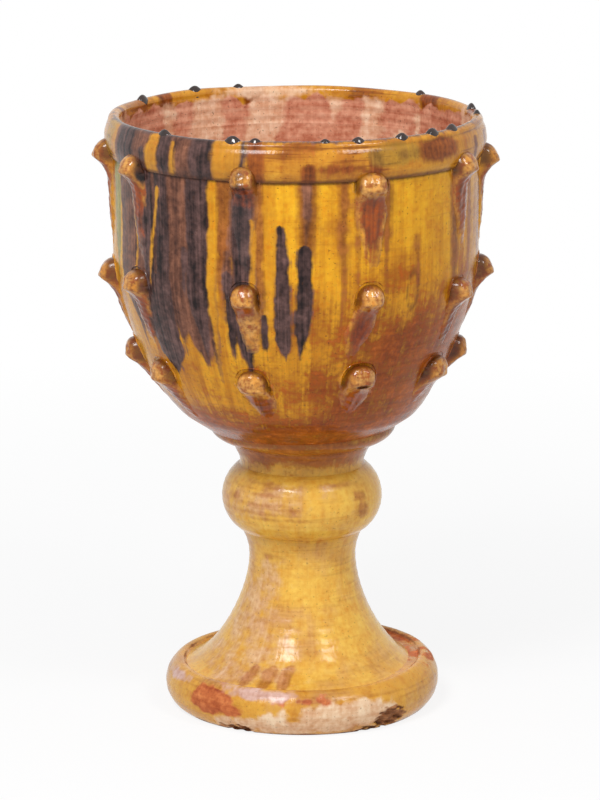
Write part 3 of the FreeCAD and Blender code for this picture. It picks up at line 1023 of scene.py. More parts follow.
@dataclass
class FootRing(ThrownPiece):
    """The rolled ring that the planter stands on, worn and chipped along its front."""

    node: str = "foot_ring"
    slot: str = "foot_glaze"
    finish: Finish = Finish.FOOT
    columns: int = 720
    base_setback: float = 11.5
    base_width: float = 17.0
    roll_height: float = 21.5
    shoulder_setback: float = 9.5
    shoulder_drop: float = 1.9
    crest_setback: float = 13.5
    seat_setback: float = 20.0
    seat_drop: float = 3.2
    seat_width: float = 22.5
    scorch_mean: float = 0.1
    scorch_sway: float = 0.25
    # Where the painted shade in the crease at the stem's seat lies, out from the seat, and its half width
    seat_shade_out: float = 2.0
    seat_shade_half: float = 0.4
    worn_height: float = 1.5
    worn_sway: float = 1.5
    warp: float = 4.5
    warp_azimuth: float = 120.0
    warp_ends: Point = (-0.3, 1.0)
    chip_depth: float = 9.0
    chip_edge: float = 4.0
    chip_sway: float = 2.8
    facet_mean: float = 0.6
    facet_sway: float = 0.4
    chips: Marks = (
        *patches(Mark.CLAY, (40.0, 10.0, 36.0, 20.0), (32.0, 3.0, 44.0, 8.0), (-29.0, 2.0, 30.0, 8.0)),
    )
    marks: Marks = (
        *patches(
            Mark.CLAY,
            (-42.0, 27.0, 54.0, 26.0), (-33.0, 22.0, 40.0, 12.0), (1.0, 35.0, 40.0, 7.0),
            (95.0, 10.0, 40.0, 12.0), (88.0, 39.0, 46.0, 6.0), (128.0, 39.0, 70.0, 6.0),
            (210.0, 20.0, 36.0, 18.0),
        ),
        *patches(
            Mark.CREAM,
            (17.0, 19.0, 104.0, 30.0), (-8.0, 10.0, 110.0, 18.0), (-15.0, 9.0, 50.0, 14.0),
            (-34.0, 9.0, 24.0, 14.0), (150.0, 14.0, 90.0, 18.0), (-120.0, 12.0, 70.0, 14.0),
        ),
        # Pale mauve band along the crest: mauve glaze and painted sheen
        *patches(Mark.UMBER, (-19.0, 38.0, 76.0, 8.0), (-70.0, 37.0, 40.0, 7.0)),
    )

    def section(self) -> list[Stretch]:
        """Half-round roll with a raised crest round the stem's seat."""
        reach, low, high = self.extent.radius, self.extent.low, self.extent.high
        base = (reach - self.base_setback, low)
        inner_base = (base[0] - self.base_width, low)
        shoulder = (reach - self.shoulder_setback, high - self.shoulder_drop)
        seat = (reach - self.seat_setback, high - self.seat_drop)
        inner_seat = (seat[0] - self.seat_width, seat[1])
        return [
            (arc(base, (reach, low + self.roll_height), shoulder), False),
            (arc(shoulder, (reach - self.crest_setback, high), seat, step=0.9), False),
            (bezier(seat, inner_seat), False),
            (bezier(inner_seat, inner_base), True),
            (bezier(inner_base, base), True),
        ]

    def chip(self, place: Place) -> Array:
        """Depth inside the ragged chips along the base."""
        ragged = self.chip_sway * place.uneven(seed=23, span=8.0, lobes=80)
        return deepest(self.chips, Mark.CLAY, place) + ragged

    def lift(self, place: Place) -> Array:
        """Millimetres that the ring, which was pressed on askew, rises towards its back right."""
        share = place.height / self.extent.high
        towards = np.cos(np.radians(place.azimuth - self.warp_azimuth))
        return self.warp * share * smooth(towards, *self.warp_ends)

    def fields(self, place: Place, inside: Array) -> Fields:
        """Worn patches, bare clay underneath and in the chip, and brown in the crease at the stem as painted shade.
        """
        chip = self.chip(place)
        bare = np.maximum(deepest(self.marks, Mark.CLAY, place), bare_inside(inside))
        worn = self.worn_height - place.height + self.worn_sway * place.uneven(seed=21, span=50.0, lobes=24)
        # Painted shade in the crease where the stem sits, joined in one field with the worn base edge and the chip
        corner = self.extent.radius - self.seat_setback + self.seat_shade_out
        crease = self.seat_shade_half - np.abs(place.radius - corner)
        return {
            Mark.UMBER: deepest(self.marks, Mark.UMBER, place),
            Mark.CREAM: deepest(self.marks, Mark.CREAM, place),
            Mark.CLAY: bare,
            Mark.CREASE: np.maximum(np.where(inside > 0.5, NOWHERE, np.maximum(crease, worn)), chip),
            Mark.SCORCH_AND_SHADE: self.browned(place, seed=22, span=40.0, lobes=9),
        }

    def relief(self, place: Place, inside: Array, fields: Fields) -> Array:
        """Unevenness of the roll, less the chips knocked out of it, which broke in facets."""
        rolled = super().relief(place, inside, fields)
        outside = 1.0 - inside
        facets = self.facet_mean + self.facet_sway * place.uneven(seed=24, span=11.0, lobes=50)
        bite = self.chip_depth * smooth(self.chip(place), 0.0, self.chip_edge) * facets
        return rolled - outside * bite


@dataclass
class Stem(ThrownPiece):
    """The hollow trumpet on the foot ring."""

    node: str = "stem"
    slot: str = "pedestal_glaze"
    finish: Finish = Finish.PEDESTAL
    flare_height: float = 106.5
    waist_radius: float = 51.0
    wall: float = 12.5
    top_radius: float = 58.0
    foot_width: float = 26.0
    throat_wall: float = 14.0
    foot_slope: float = 170.0
    inner_slope: float = 140.0
    foot_pull: float = 0.29
    waist_pull: float = 0.38
    inner_pull: float = 0.24
    scorch_mean: float = -0.15
    # Brown near the top, where the stem meets the knop: painted soft shade in the joint
    joint_shade: float = 0.4
    joint_ends: Point = (145.0, 172.0)
    veil_depth: float = 3.0
    marks: Marks = (
        *patches(
            Mark.UMBER,
            (-33.0, 46.5, 22.0, 8.0), (-21.0, 48.0, 18.0, 7.0), (-12.0, 47.0, 14.0, 8.0),
            # The patch at -46 degrees and 57 mm lies where the key lamp's reflection spreads over the stem's foot:
            # mauve glaze and painted reflection
            (140.0, 47.0, 40.0, 8.0), (-46.0, 57.0, 70.0, 24.0), (-50.0, 95.0, 50.0, 70.0),
            (-24.0, 70.0, 40.0, 30.0), (-38.0, 130.0, 26.0, 30.0), (210.0, 90.0, 60.0, 60.0),
        ),
        *patches(Mark.RUST, (-34.0, 152.0, 18.0, 6.0)),
        Run(Mark.RUST, -28.0, 11.0, 56.0, 36.0, drift=-5.0),
        Run(Mark.RUST, -18.0, 14.0, 57.0, 36.0, drift=-4.0),
        Run(Mark.RUST, -7.0, 12.0, 58.0, 36.0, drift=-4.0),
    )

    def _flare(self, foot: Point, waist: Point, slope: float, pull: float) -> Array:
        """Thrown curve from the foot up to the waist."""
        return thrown_curve(foot, waist, slope, (pull, self.waist_pull), step=1.6)

    def section(self) -> list[Stretch]:
        """Outer flare and throat, then the inner ones back down."""
        foot = (self.extent.radius, self.extent.low)
        waist = (self.waist_radius, self.extent.low + self.flare_height)
        top = (self.top_radius, self.extent.high)
        inner_foot = (foot[0] - self.foot_width, foot[1])
        inner_waist = (waist[0] - self.wall, waist[1])
        inner_top = (top[0] - self.throat_wall, top[1])
        middle = (waist[1] + top[1]) / 2
        return [
            (self._flare(foot, waist, self.foot_slope, self.foot_pull), False),
            (bezier(waist, (waist[0], middle), top), False),
            (bezier(top, inner_top), True),
            (bezier(inner_top, (inner_waist[0], middle), inner_waist), True),
            (self._flare(inner_foot, inner_waist, self.inner_slope, self.inner_pull)[::-1], True),
            (bezier(inner_foot, foot), True),
        ]

    def fields(self, place: Place, inside: Array) -> Fields:
        """Smears at the foot, brown where the stem meets the knop as painted shade in the joint, bare clay inside.
        """
        return {
            Mark.UMBER: np.minimum(deepest(self.marks, Mark.UMBER, place), self.veil_depth),
            Mark.RUST: deepest(self.marks, Mark.RUST, place),
            Mark.CLAY: bare_inside(inside),
            Mark.SCORCH_AND_SHADE: self.browned(place, seed=31, span=70.0, lobes=5)
            + self.joint_shade * smooth(place.height, *self.joint_ends),
        }


@dataclass
class Knop(ThrownPiece):
    """The hollow bulb on the stem."""

    node: str = "knop"
    slot: str = "pedestal_glaze"
    finish: Finish = Finish.PEDESTAL
    end_radius: float = 58.0
    raised: float = 5.5
    wall: float = 14.0
    ridge: float = 0.09
    ridge_gap: float = 6.5
    scorch_mean: float = -0.1
    scorch_sway: float = 0.25
    # Brown near the bottom, where the knop sits on the stem: painted soft shade in the joint
    joint_shade: float = 0.45
    joint_rise: float = 8.0
    veil_depth: float = 2.0
    marks: Marks = (
        *patches(
            Mark.RUST,
            (-34.0, 227.0, 26.0, 3.4), (-42.0, 222.0, 30.0, 2.4), (-30.0, 218.0, 30.0, 2.2),
            (-38.0, 208.0, 34.0, 2.0), (-44.0, 200.0, 30.0, 2.4), (-24.0, 200.0, 30.0, 2.2),
            (-12.0, 195.0, 40.0, 2.2), (-22.0, 224.0, 18.0, 2.6), (-7.0, 205.0, 20.0, 4.0),
            (-14.0, 209.0, 10.0, 2.4), (47.0, 214.0, 14.0, 11.0), (48.0, 200.0, 18.0, 16.0),
            (-58.0, 212.0, 16.0, 8.0), (24.0, 226.0, 30.0, 2.8), (130.0, 205.0, 22.0, 6.0),
            (200.0, 214.0, 34.0, 4.0),
        ),
        # The first patch lies round the key lamp's highlight on the knop: mauve glaze and painted sheen
        *patches(Mark.UMBER, (-20.0, 213.0, 46.0, 20.0), (-46.0, 206.0, 40.0, 24.0)),
    )

    def section(self) -> list[Stretch]:
        """Round outside and round inside."""
        low, high = self.extent.low, self.extent.high + self.raised
        middle = (self.extent.low + self.extent.high) / 2
        inner = self.end_radius - self.wall
        return [
            (arc((self.end_radius, low), (self.extent.radius, middle), (self.end_radius, high), step=1.2), False),
            (bezier((self.end_radius, high), (inner, high)), True),
            (arc((inner, high), (self.extent.radius - self.wall, middle), (inner, low)), True),
            (bezier((inner, low), (self.end_radius, low)), True),
        ]

    def fields(self, place: Place, inside: Array) -> Fields:
        """Brush dashes, brown at its joint with the stem as painted shade, bare clay inside."""
        return {
            Mark.UMBER: np.minimum(deepest(self.marks, Mark.UMBER, place), self.veil_depth),
            Mark.RUST: deepest(self.marks, Mark.RUST, place),
            Mark.CLAY: bare_inside(inside),
            Mark.SCORCH_AND_SHADE: self.browned(place, seed=41, span=40.0, lobes=6)
            + self.joint_shade * smooth(self.joint_rise - (place.height - self.extent.low), 0.0, self.joint_rise),
        }


@dataclass
class Neck(ThrownPiece):
    """The flared ring that carries the bowl."""

    node: str = "neck"
    slot: str = "pedestal_glaze"
    finish: Finish = Finish.PEDESTAL
    raised: float = 4.5
    base_radius: float = 60.0
    cove_radius: float = 57.5
    cove_height: float = 6.0
    bend_radius: float = 64.5
    bend_height: float = 15.5
    top_radius: float = 72.0
    wall: float = 14.0
    scorch_mean: float = 0.45
    top_brown: float = 0.6
    top_ends: Point = (236.0, 254.0)

    def section(self) -> list[Stretch]:
        """Cove that opens upwards, and the same curve one wall further in."""
        low, high = self.extent.low + self.raised, self.extent.high
        poles = [(self.base_radius, low), (self.cove_radius, low + self.cove_height),
                 (self.bend_radius, low + self.bend_height), (self.top_radius, high)]
        inner = [(radius - self.wall, height) for radius, height in poles]
        return [
            (bezier(*poles, step=1.4), False),
            (bezier(poles[-1], inner[-1]), True),
            (bezier(*inner[::-1]), True),
            (bezier(inner[0], poles[0]), True),
        ]

    def fields(self, place: Place, inside: Array) -> Fields:
        """Half scorched at the joint with the knop, and brown above."""
        return {
            Mark.CLAY: bare_inside(inside),
            Mark.SCORCH_AND_SHADE: self.scorch_mean + self.top_brown * smooth(place.height, *self.top_ends)
            + self.scorch_sway * place.uneven(seed=51, span=40.0, lobes=7),
        }


@dataclass
class JointCollar(ThrownPiece):
    """The clay pressed round the joint of neck and bowl. Its top runs up into the bowl's underside."""

    node: str = "joint_collar"
    slot: str = "pedestal_glaze"
    finish: Finish = Finish.PEDESTAL
    radius: float = 88.5
    base_radius: float = 68.0
    base_lift: float = 6.0
    toe_radius: float = 77.0
    toe_height: float = 9.0
    height: float = 21.7
    top_pull: float = 8.0
    cover: float = 6.0
    inner_base_radius: float = 57.0
    inner_top_radius: float = 72.0
    wobble: float = 0.9
    scorch_mean: float = 0.95
    marks: Marks = (
        *patches(
            Mark.RUST,
            (-6.0, 284.0, 30.0, 5.0), (40.0, 286.0, 22.0, 4.0), (-34.0, 279.0, 26.0, 3.0),
            (170.0, 283.0, 36.0, 4.0),
        ),
    )

    def section(self) -> list[Stretch]:
        """Bulging outside, with its back buried in the neck and the bowl."""
        low = self.extent.low
        top = (self.radius, low + self.height)
        cover = (self.radius, top[1] + self.cover)
        base = (self.base_radius, low + self.base_lift)
        inner_top = (self.inner_top_radius, cover[1] - self.cover / 2)
        inner_base = (self.inner_base_radius, low)
        swell = [base, (self.toe_radius, low + self.toe_height), (self.radius, top[1] - self.top_pull), top]
        return [
            (bezier(*swell, step=1.2), False),
            (bezier(top, cover), False),
            (bezier(cover, inner_top), True),
            (bezier(inner_top, inner_base), True),
            (bezier(inner_base, base), True),
        ]

    def fields(self, place: Place, inside: Array) -> Fields:
        """Scorched brown with a few darker dashes."""
        return {
            Mark.RUST: deepest(self.marks, Mark.RUST, place),
            Mark.SCORCH_AND_SHADE: self.browned(place, seed=61, span=30.0, lobes=9),
        }


@dataclass
class Bowl(ThrownPiece):
    """The deep bowl: dark runs on its left, yellow on its right, bare clay washed with slip inside."""

    node: str = "bowl"
    slot: str = "bowl_glaze"
    finish: Finish = Finish.BOWL
    columns: int = 456
    wobble: float = 0.8
    base_radius: float = 78.0
    turn_radius: float = 110.0
    turn_height: float = 21.5
    turn_slope: float = 42.0
    belly_radius: float = 174.5
    slim: float = 2.5
    belly_height: float = 175.0
    turn_pull: float = 0.28
    belly_pull: float = 0.22
    wall: float = 12.0
    floor: float = 14.0
    drain_radius: float = 11.0
    inner_turn_radius: float = 106.9
    inner_turn_height: float = 31.2
    floor_radius: float = 78.2
    glaze_relief: float = 0.5
    glaze_edge: Point = (-0.5, 2.5)
    askew: float = 3.5
    askew_ends: Point = (282.0, 330.0)
    # Height of the painted shade in the joint under the rim
    joint_shade_rise: float = 1.6
    left_brown: float = 0.45
    left_ends: Point = (335.0, 500.0)
    right_brown: float = 0.95
    right_ends: Point = (345.0, 545.0)
    right_from: Point = (-20.0, 35.0)
    right_to: Point = (115.0, 175.0)
    under_brown: float = 1.1
    under_ends: Point = (285.0, 345.0)

    def _belly(self, turn: Point, belly: Point) -> Array:
        """Thrown curve from the turn of the underside up to the belly."""
        return thrown_curve(turn, belly, self.turn_slope, (self.turn_pull, self.belly_pull), step=2.4)

    def outside(self) -> list[Array]:
        """Stretches of the outside: trimmed underside, belly and upright wall."""
        low, high = self.extent.low, self.extent.high
        turn = (self.turn_radius, low + self.turn_height)
        belly = (self.belly_radius - self.slim, low + self.belly_height)
        return [
            bezier((self.base_radius, low), turn),
            self._belly(turn, belly),
            bezier(belly, (self.extent.radius - self.slim, high), step=2.4),
        ]

    def wall_radius(self, height: Array) -> Array:
        """Radius of the outside at each height, which is the lip's radius above the lip."""
        outline = np.concatenate(self.outside())
        return np.interp(height, outline[:, 1], outline[:, 0])

    def scorch(self, place: Place) -> Array:
        """How brown the glaze fired, from 0 to 1: more towards the foot, and more on the right than on the left."""
        front = turn_apart(place.azimuth, 0.0)
        right = smooth(front, *self.right_from) * (1.0 - smooth(front, *self.right_to))
        left_brown = self.left_brown * (1.0 - smooth(place.height, *self.left_ends))
        right_brown = self.right_brown * (1.0 - smooth(place.height, *self.right_ends))
        under_brown = self.under_brown * (1.0 - smooth(place.height, *self.under_ends))
        return np.maximum(left_brown + right * (right_brown - left_brown), under_brown)

    def section(self) -> list[Stretch]:
        """Outside, lip, inside, floor and drain hole."""
        low, high = self.extent.low, self.extent.high
        lip, inner_lip = (self.extent.radius - self.slim, high), (self.extent.radius - self.wall, high)
        inner_belly = (self.belly_radius - self.wall, low + self.belly_height)
        inner_turn = (self.inner_turn_radius, low + self.inner_turn_height)
        floor_edge = (self.floor_radius, low + self.floor)
        drain = (self.drain_radius, low + self.floor)
        return [
            *((stretch, False) for stretch in self.outside()),
            (bezier(lip, inner_lip, step=4.0), True),
            (bezier(inner_lip, inner_belly, step=5.5), True),
            (self._belly(inner_turn, inner_belly)[::-2], True),
            (bezier(inner_turn, floor_edge, step=5.0), True),
            (bezier(floor_edge, drain, step=8.0), True),
            (bezier(drain, (self.drain_radius, low), step=5.0), True),
            (bezier((self.drain_radius, low), (self.base_radius, low), step=12.0), True),
        ]

    def fields(self, place: Place, inside: Array) -> Fields:
        """Runs of every kind outside, painted shade in the joint under the rim, slip on bare clay inside, scorch
        that grows downwards and to the right.
        """
        fields = run_depths(WALL_MARKS, place)
        fields[Mark.SCORCH_AND_SHADE] = self.scorch(place)
        # Dark band at the top of the wall, under the rim: painted shade in the joint, together with the drop
        # outlines
        joint = self.joint_shade_rise - (self.extent.high - place.height)
        crease = np.maximum(joint, deepest(WALL_MARKS, Mark.CREASE, place))
        fields[Mark.CREASE] = np.where(inside > 0.5, NOWHERE, crease)
        fields[Mark.CLAY] = bare_inside(inside)
        slip = deepest(INSIDE_MARKS, Mark.SLIP, place)
        fields[Mark.SLIP] = np.where(inside > 0.5, slip, NOWHERE)
        return fields

    def relief(self, place: Place, inside: Array, fields: Fields) -> Array:
        """Thrown unevenness, the thickness of the dark runs, and an underside that sits a little to the right."""
        run = self.glaze_relief * smooth(fields[Mark.MANGANESE], *self.glaze_edge)
        low = 1.0 - smooth(place.height, *self.askew_ends)
        aside = self.askew * low * np.sin(np.radians(place.azimuth))
        return super().relief(place, inside, fields) + (run + aside) * (1.0 - inside)


@dataclass
class RimRoll(ThrownPiece):
    """The rolled band on the lip, banded with dark and yellow glaze that runs over into the inside."""

    node: str = "rim_roll"
    slot: str = "rim_glaze"
    finish: Finish = Finish.RIM
    columns: int = 640
    wobble: float = 0.9
    foot_setback: float = 3.5
    swell_height: float = 18.0
    shoulder_height: float = 29.5
    crest_setback: float = 9.5
    bore_radius: float = 163.5
    lip_height: float = 30.5
    glaze_band: float = 11.0
    band_sway: float = 6.0
    slip_lap: float = 3.0
    # Height of the painted shade along the seat, where the rim sits on the bowl
    joint_shade_rise: float = 2.4
    crest_wave: float = 0.8
    tuck: float = 2.0
    scorch_mean: float = 0.25
    scorch_sway: float = 0.35
    pool_half: float = 2.4
    pool_shift: float = 0.6
    pool_thinning: float = 0.5
    back_thinning: float = 3.0
    dark_middle: float = -45.0
    dark_ends: Point = (30.0, 42.0)
    front_middle: float = -5.0
    front_ends: Point = (60.0, 100.0)

    @property
    def reach(self) -> float:
        """Radius of the swelling outside."""
        return self.extent.radius - self.tuck

    @property
    def crest_radius(self) -> float:
        """Radius of the highest line of the rim."""
        return self.reach - self.crest_setback

    def crest(self) -> Array:
        """Rounded crest, from the shoulder to the inner lip."""
        low = self.extent.low
        shoulder = (self.reach - self.foot_setback, low + self.shoulder_height)
        inner_lip = (self.bore_radius, low + self.lip_height)
        return arc(shoulder, (self.crest_radius, self.extent.high), inner_lip, step=0.8)

    def crest_height(self, radius: Array) -> Array:
        """Height of the crest at each radius."""
        crest = self.crest()[::-1]
        return np.interp(radius, crest[:, 0], crest[:, 1])

    def section(self) -> list[Stretch]:
        """Swelling outside, rounded crest, upright inside."""
        crest, low = self.crest(), self.extent.low
        foot, seat = (self.reach - self.foot_setback, low), (self.bore_radius, low)
        return [
            (arc(foot, (self.reach, low + self.swell_height), tuple(crest[0]), step=1.2), False),
            (crest, False),
            (bezier(tuple(crest[-1]), seat, step=1.6), True),
            (bezier(seat, foot), True),
        ]

    def fields(self, place: Place, inside: Array) -> Fields:
        """Bands outside, dark glaze on the crest of the left side, painted shade along the seat, an uneven glaze
        band inside.
        """
        fields = run_depths(RIM_ALL_MARKS, place)
        crest = self.extent.high
        inner = place.radius < self.crest_radius
        right = 1.0 - sector(place.azimuth, self.dark_middle, self.dark_ends)
        back = 1.0 - sector(place.azimuth, self.front_middle, self.front_ends)
        outward = place.radius - self.crest_radius - self.pool_shift * right
        pooled = self.pool_half - np.hypot(place.height - crest, outward)
        pooled = pooled - right * (self.pool_thinning + self.back_thinning * back)
        fields[Mark.MANGANESE] = np.maximum(fields[Mark.MANGANESE], pooled)
        ragged = unevenness(place.azimuth, 0.0 * place.height, seed=71, span=50.0, lobes=40)
        depth = (crest - place.height) - (self.glaze_band + self.band_sway * ragged)
        for kind in (Mark.UMBER, Mark.MANGANESE):
            fields[kind] = np.where(inner, np.minimum(fields[kind], pooled), fields[kind])
        fields[Mark.CLAY] = np.where(inner, depth, NOWHERE)
        slip = np.minimum(deepest(INSIDE_MARKS, Mark.SLIP, place), depth + self.slip_lap)
        fields[Mark.SLIP] = np.maximum(np.where(inner, slip, NOWHERE), deepest(RIM_MARKS, Mark.SLIP, place))
        # Dark band along the rim's foot, where it sits on the bowl: painted shade in the joint
        fields[Mark.CREASE] = np.where(inner, NOWHERE, self.joint_shade_rise - (place.height - self.extent.low))
        fields[Mark.SCORCH_AND_SHADE] = self.browned(place, seed=72, span=40.0, lobes=12)
        return fields

    def lift(self, place: Place) -> Array:
        """Slow waves of the crest, fading to nothing at the seat."""
        share = (place.height - self.extent.low) / (self.extent.high - self.extent.low)
        waves = unevenness(place.azimuth, 0.0 * place.height, seed=73, span=80.0, lobes=9)
        return self.crest_wave * share * waves


@dataclass(frozen=True)
class RowSizes:
    """Sizes of the stubs in a row.

    Attributes:
        name: First word of their nodes' names.
        radius: Radius of the end.
        reach: How far the end stands out.
        body: How far below the end the body has narrowed.
        tail: How far below the end the tail has sunk into the wall.
    """

    name: str
    radius: float
    reach: float
    body: float
    tail: float


class Row(Enum):
    """Rows of branch stubs."""

    UPPER = RowSizes("upper", radius=12.0, reach=18.5, body=60.0, tail=92.0)
    MIDDLE = RowSizes("middle", radius=12.3, reach=17.0, body=50.0, tail=64.0)
    LOWER = RowSizes("lower", radius=13.4, reach=16.5, body=32.0, tail=38.0)


@dataclass(frozen=True)
class Habit:
    """How one stub was pressed on, and how the glaze lies on it.

    Attributes:
        lean: Millimetres that its tail goes aside per millimetre down.
        amber: Share of its body on which the glaze drained to amber.
        brown: Share of its body on which it pooled brown.
        girth: Its width, as a share of its row's.
        hold: Millimetres below its end over which its body keeps that width.
        jut: How far it stands out, as a share of its row's.
        slot: Depth of a slot pressed under its end, in millimetres.
    """

    lean: float = 0.0
    amber: float = 0.6
    brown: float = 1.0
    girth: float = 1.0
    hold: float = 12.0
    jut: float = 1.0
    slot: float = 0.0


# Habits of the stubs that the photograph shows best, by their nodes
HABITS = {
    "upper_stub_02": Habit(lean=0.10, amber=0.5, brown=0.9, hold=14.0),
    "upper_stub_03": Habit(amber=0.06, brown=0.3, hold=28.0),
    "upper_stub_04": Habit(lean=0.03, amber=0.95, girth=1.22, hold=24.0, jut=0.8),
    "upper_stub_05": Habit(lean=0.06, amber=0.8, girth=1.12, hold=24.0, jut=0.92),
    "middle_stub_02": Habit(lean=0.03, amber=0.6, girth=1.08),
    "middle_stub_03": Habit(lean=0.08, amber=1.0, brown=0.3, hold=6.0),
    "middle_stub_04": Habit(lean=-0.22, amber=0.5, hold=28.0),
    "lower_stub_02": Habit(lean=0.15, amber=0.8, brown=1.1),
    "lower_stub_03": Habit(lean=0.30, amber=0.9, brown=1.1, girth=1.05),
    "lower_stub_04": Habit(lean=-0.05, amber=0.8, girth=1.08, hold=14.0, slot=3.0),
    "lower_stub_05": Habit(lean=-0.04, amber=0.8, girth=1.1),
}


@dataclass
class BranchStub:
    """A cut branch stub of clay pressed on the wall: a blunt horn whose underside sweeps into a long tail.

    Attributes:
        node: CAD node that it stands for.
        row: Its row, with the sizes of its knob and tail.
        bowl: Bowl that carries it.
        seed: Seed of its small unevenness.
        habit: Its own habit.
        smear: Width of the smeared slip on its right, in millimetres.
        cut: Slope of its end face, which leans back towards its top.
        knob_rise: How far its end rises over its radius.
        lip_drop: How far below its middle the end face meets the underside.
        undersweep: Length over which the underside sinks by a factor of e.
        tail_sweep: The same for the tail.
        tail_depth: Height of the tail above its end.
        end_depth: Height at which the tail ends.
        end_share: Width at the end of the body, as a share of the width at the knob.
        sink: How far the tail's end sinks into the wall.
        hood: Height of the thin hood of slip round the top.
        margin: Buried margin round the stub.
        squareness: Power of its outline and section, which is 2 for an ellipse.
        sway: How far its middle line winds.
        sway_gap: Length in which that winding goes through one radian.
        past_ends: Depths between which the end goes over to the body.
        mound: Height of the smeared slip along both sides.
        left_smear: Width of the slip on its left, as a share of that on its right.
        rough: Height of the marks of the fingers.
        slot_size: Half width and half height of a slot under its end.
        rows: Points along it.
        columns: Points across it.
    """

    node: str
    row: Row
    bowl: Bowl
    seed: int
    habit: Habit
    smear: float = 8.0
    cut: float = 0.3
    knob_rise: float = 1.5
    lip_drop: float = 4.0
    undersweep: float = 10.5
    tail_sweep: float = 42.0
    tail_depth: float = 2.0
    end_depth: float = 0.5
    end_share: float = 0.58
    sink: float = 3.0
    hood: float = 1.6
    margin: float = 5.0
    squareness: float = 2.4
    sway: float = 0.6
    sway_gap: float = 9.0
    past_ends: Point = (5.0, 30.0)
    mound: float = 0.9
    left_smear: float = 0.55
    rough: float = 0.5
    slot_size: Point = (7.0, 2.0)
    rows: int = 120
    columns: int = 84

    def seat(self) -> tuple[float, float]:
        """Azimuth of the stub and height of its row, from the tip and the top of the CAD node."""
        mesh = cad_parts[self.node].data
        points = np.zeros(len(mesh.vertices) * 3)
        mesh.vertices.foreach_get("co", points)
        points = points.reshape(-1, 3) / MM
        reach = np.hypot(points[:, 0], points[:, 1])
        tip_depth = 0.6
        tip = points[reach > reach.max() - tip_depth].mean(axis=0)
        height = points[:, 2].max() - self.row.value.radius - self.knob_rise
        return math.degrees(math.atan2(tip[0], -tip[1])), height

    def crest(self, up: Array) -> Array:
        """Height of the stub's middle line above the wall.

        The soft lesser of the leaning end face and an underside that sinks as an exponential, then the soft
        greater of that and a tail that sinks more slowly.

        Args:
            up: Millimetres above the stub's row.

        Returns:
            Heights in millimetres.
        """
        highest, raised, fall = 12.0, 0.5, 0.6
        reach = self.habit.jut * self.row.value.reach
        past_lip = up + self.lip_drop
        face = reach - self.cut * past_lip
        swept = np.exp(np.minimum(past_lip, highest) / self.undersweep)
        under = self.end_depth + (reach - self.end_depth) * swept
        end = raised - soft_max(-face, -under, sharpness=0.7)
        down = np.maximum(-up, 0.0)
        low = self.end_depth + self.tail_depth * np.exp(-down / self.tail_sweep)
        low = low - fall * np.maximum(down - self.row.value.tail, 0.0)
        return soft_max(end, low, sharpness=0.6)

    def height_above(self, aside: Array, up: Array) -> tuple[Array, Fields]:
        """Height of the stub above the wall.

        The middle line's height times a rounded section across the stub, rounded at the top as well, in a soft
        maximum with a low mound of slip along both sides and a thin hood of slip round the top. The tail sinks
        into the wall over its lower half.

        Args:
            aside: Millimetres along the wall, to the right of the stub's middle.
            up: Millimetres above the stub's row.

        Returns:
            Heights in millimetres, negative where the stub is buried, and the depths of its own marks.
        """
        radius, body, tail = self.row.value.radius, self.row.value.body, self.row.value.tail
        down = np.maximum(-up, 0.0)
        way = np.clip(down / tail, 0.0, 1.0)
        past_end = smooth(down, *self.past_ends)
        centred = aside - self.habit.lean * down + self.sway * np.sin(down / self.sway_gap + self.seed)
        half = self.habit.girth * radius * (1.0 - (1.0 - self.end_share) * smooth(down, self.habit.hold, body))
        over_top = np.maximum(up, 0.0) / (radius + self.knob_rise)
        apart = (np.abs(centred) / half) ** self.squareness + over_top ** self.squareness
        roundness = 0.4 + 0.55 * past_end
        section = np.maximum(1.0 - apart, 0.0) ** roundness
        horn = self.crest(up) * section - np.maximum(apart - 1.0, 0.0) * radius
        smear = np.where(centred > 0.0, self.smear, self.left_smear * self.smear)
        narrowing, fall_above, fall_aside, fall_below = 0.6, 0.35, 0.4, 0.5
        skirt = half + smear * (1.0 - narrowing * way)
        mound = self.mound * (1.0 - way) * (1.0 - (centred / skirt) ** 2) - fall_above * np.maximum(up - 1.0, 0.0)
        mound = np.where(np.abs(centred) > skirt, -fall_aside * (np.abs(centred) - skirt), mound)
        mound = mound - fall_below * np.maximum(down - tail, 0.0)
        hood_line, hood_width, hood_start = 1.2, 0.1, -9.0
        off_line = (apart ** (1.0 / self.squareness) - hood_line) / hood_width
        ring = np.exp(-off_line ** 2) * smooth(up, hood_start, 0.0)
        mound = mound + (self.hood - np.minimum(mound, 0.0)) * ring
        bedding = 0.8
        height = soft_max(horn, mound, sharpness=0.8 - 0.45 * past_end) - bedding
        height = height - self.sink * smooth(down, 0.5 * tail, tail)
        slot = 1.0 - np.hypot(centred / self.slot_size[0], (up + self.lip_drop) / self.slot_size[1])
        height = height - self.habit.slot * smooth(slot, 0.0, 0.5)
        degrees_per_mm = 9.0
        height = height + self.rough * unevenness(centred * degrees_per_mm, up, self.seed, span=14.0, lobes=6)
        return height, self.own_marks(down, centred, half, apart, slot)

    def own_marks(self, down: Array, centred: Array, half: Array, apart: Array, slot: Array) -> Fields:
        """Amber on the knob, brown along the body, painted shade round its outline, in its slot, on its right side
        and under its end.

        Args:
            down: Millimetres below the stub's row.
            centred: Millimetres aside of its middle line.
            half: Half its width.
            apart: Share of the way to its outline, to the power of its squareness.
            slot: Depth inside the slot under its end, as a share.

        Returns:
            Depths of the marks.
        """
        radius, body, tail = self.row.value.radius, self.row.value.body, self.row.value.tail
        fade, outline_shade_half, outline_shade_end = 0.4, 2.0, 3.0
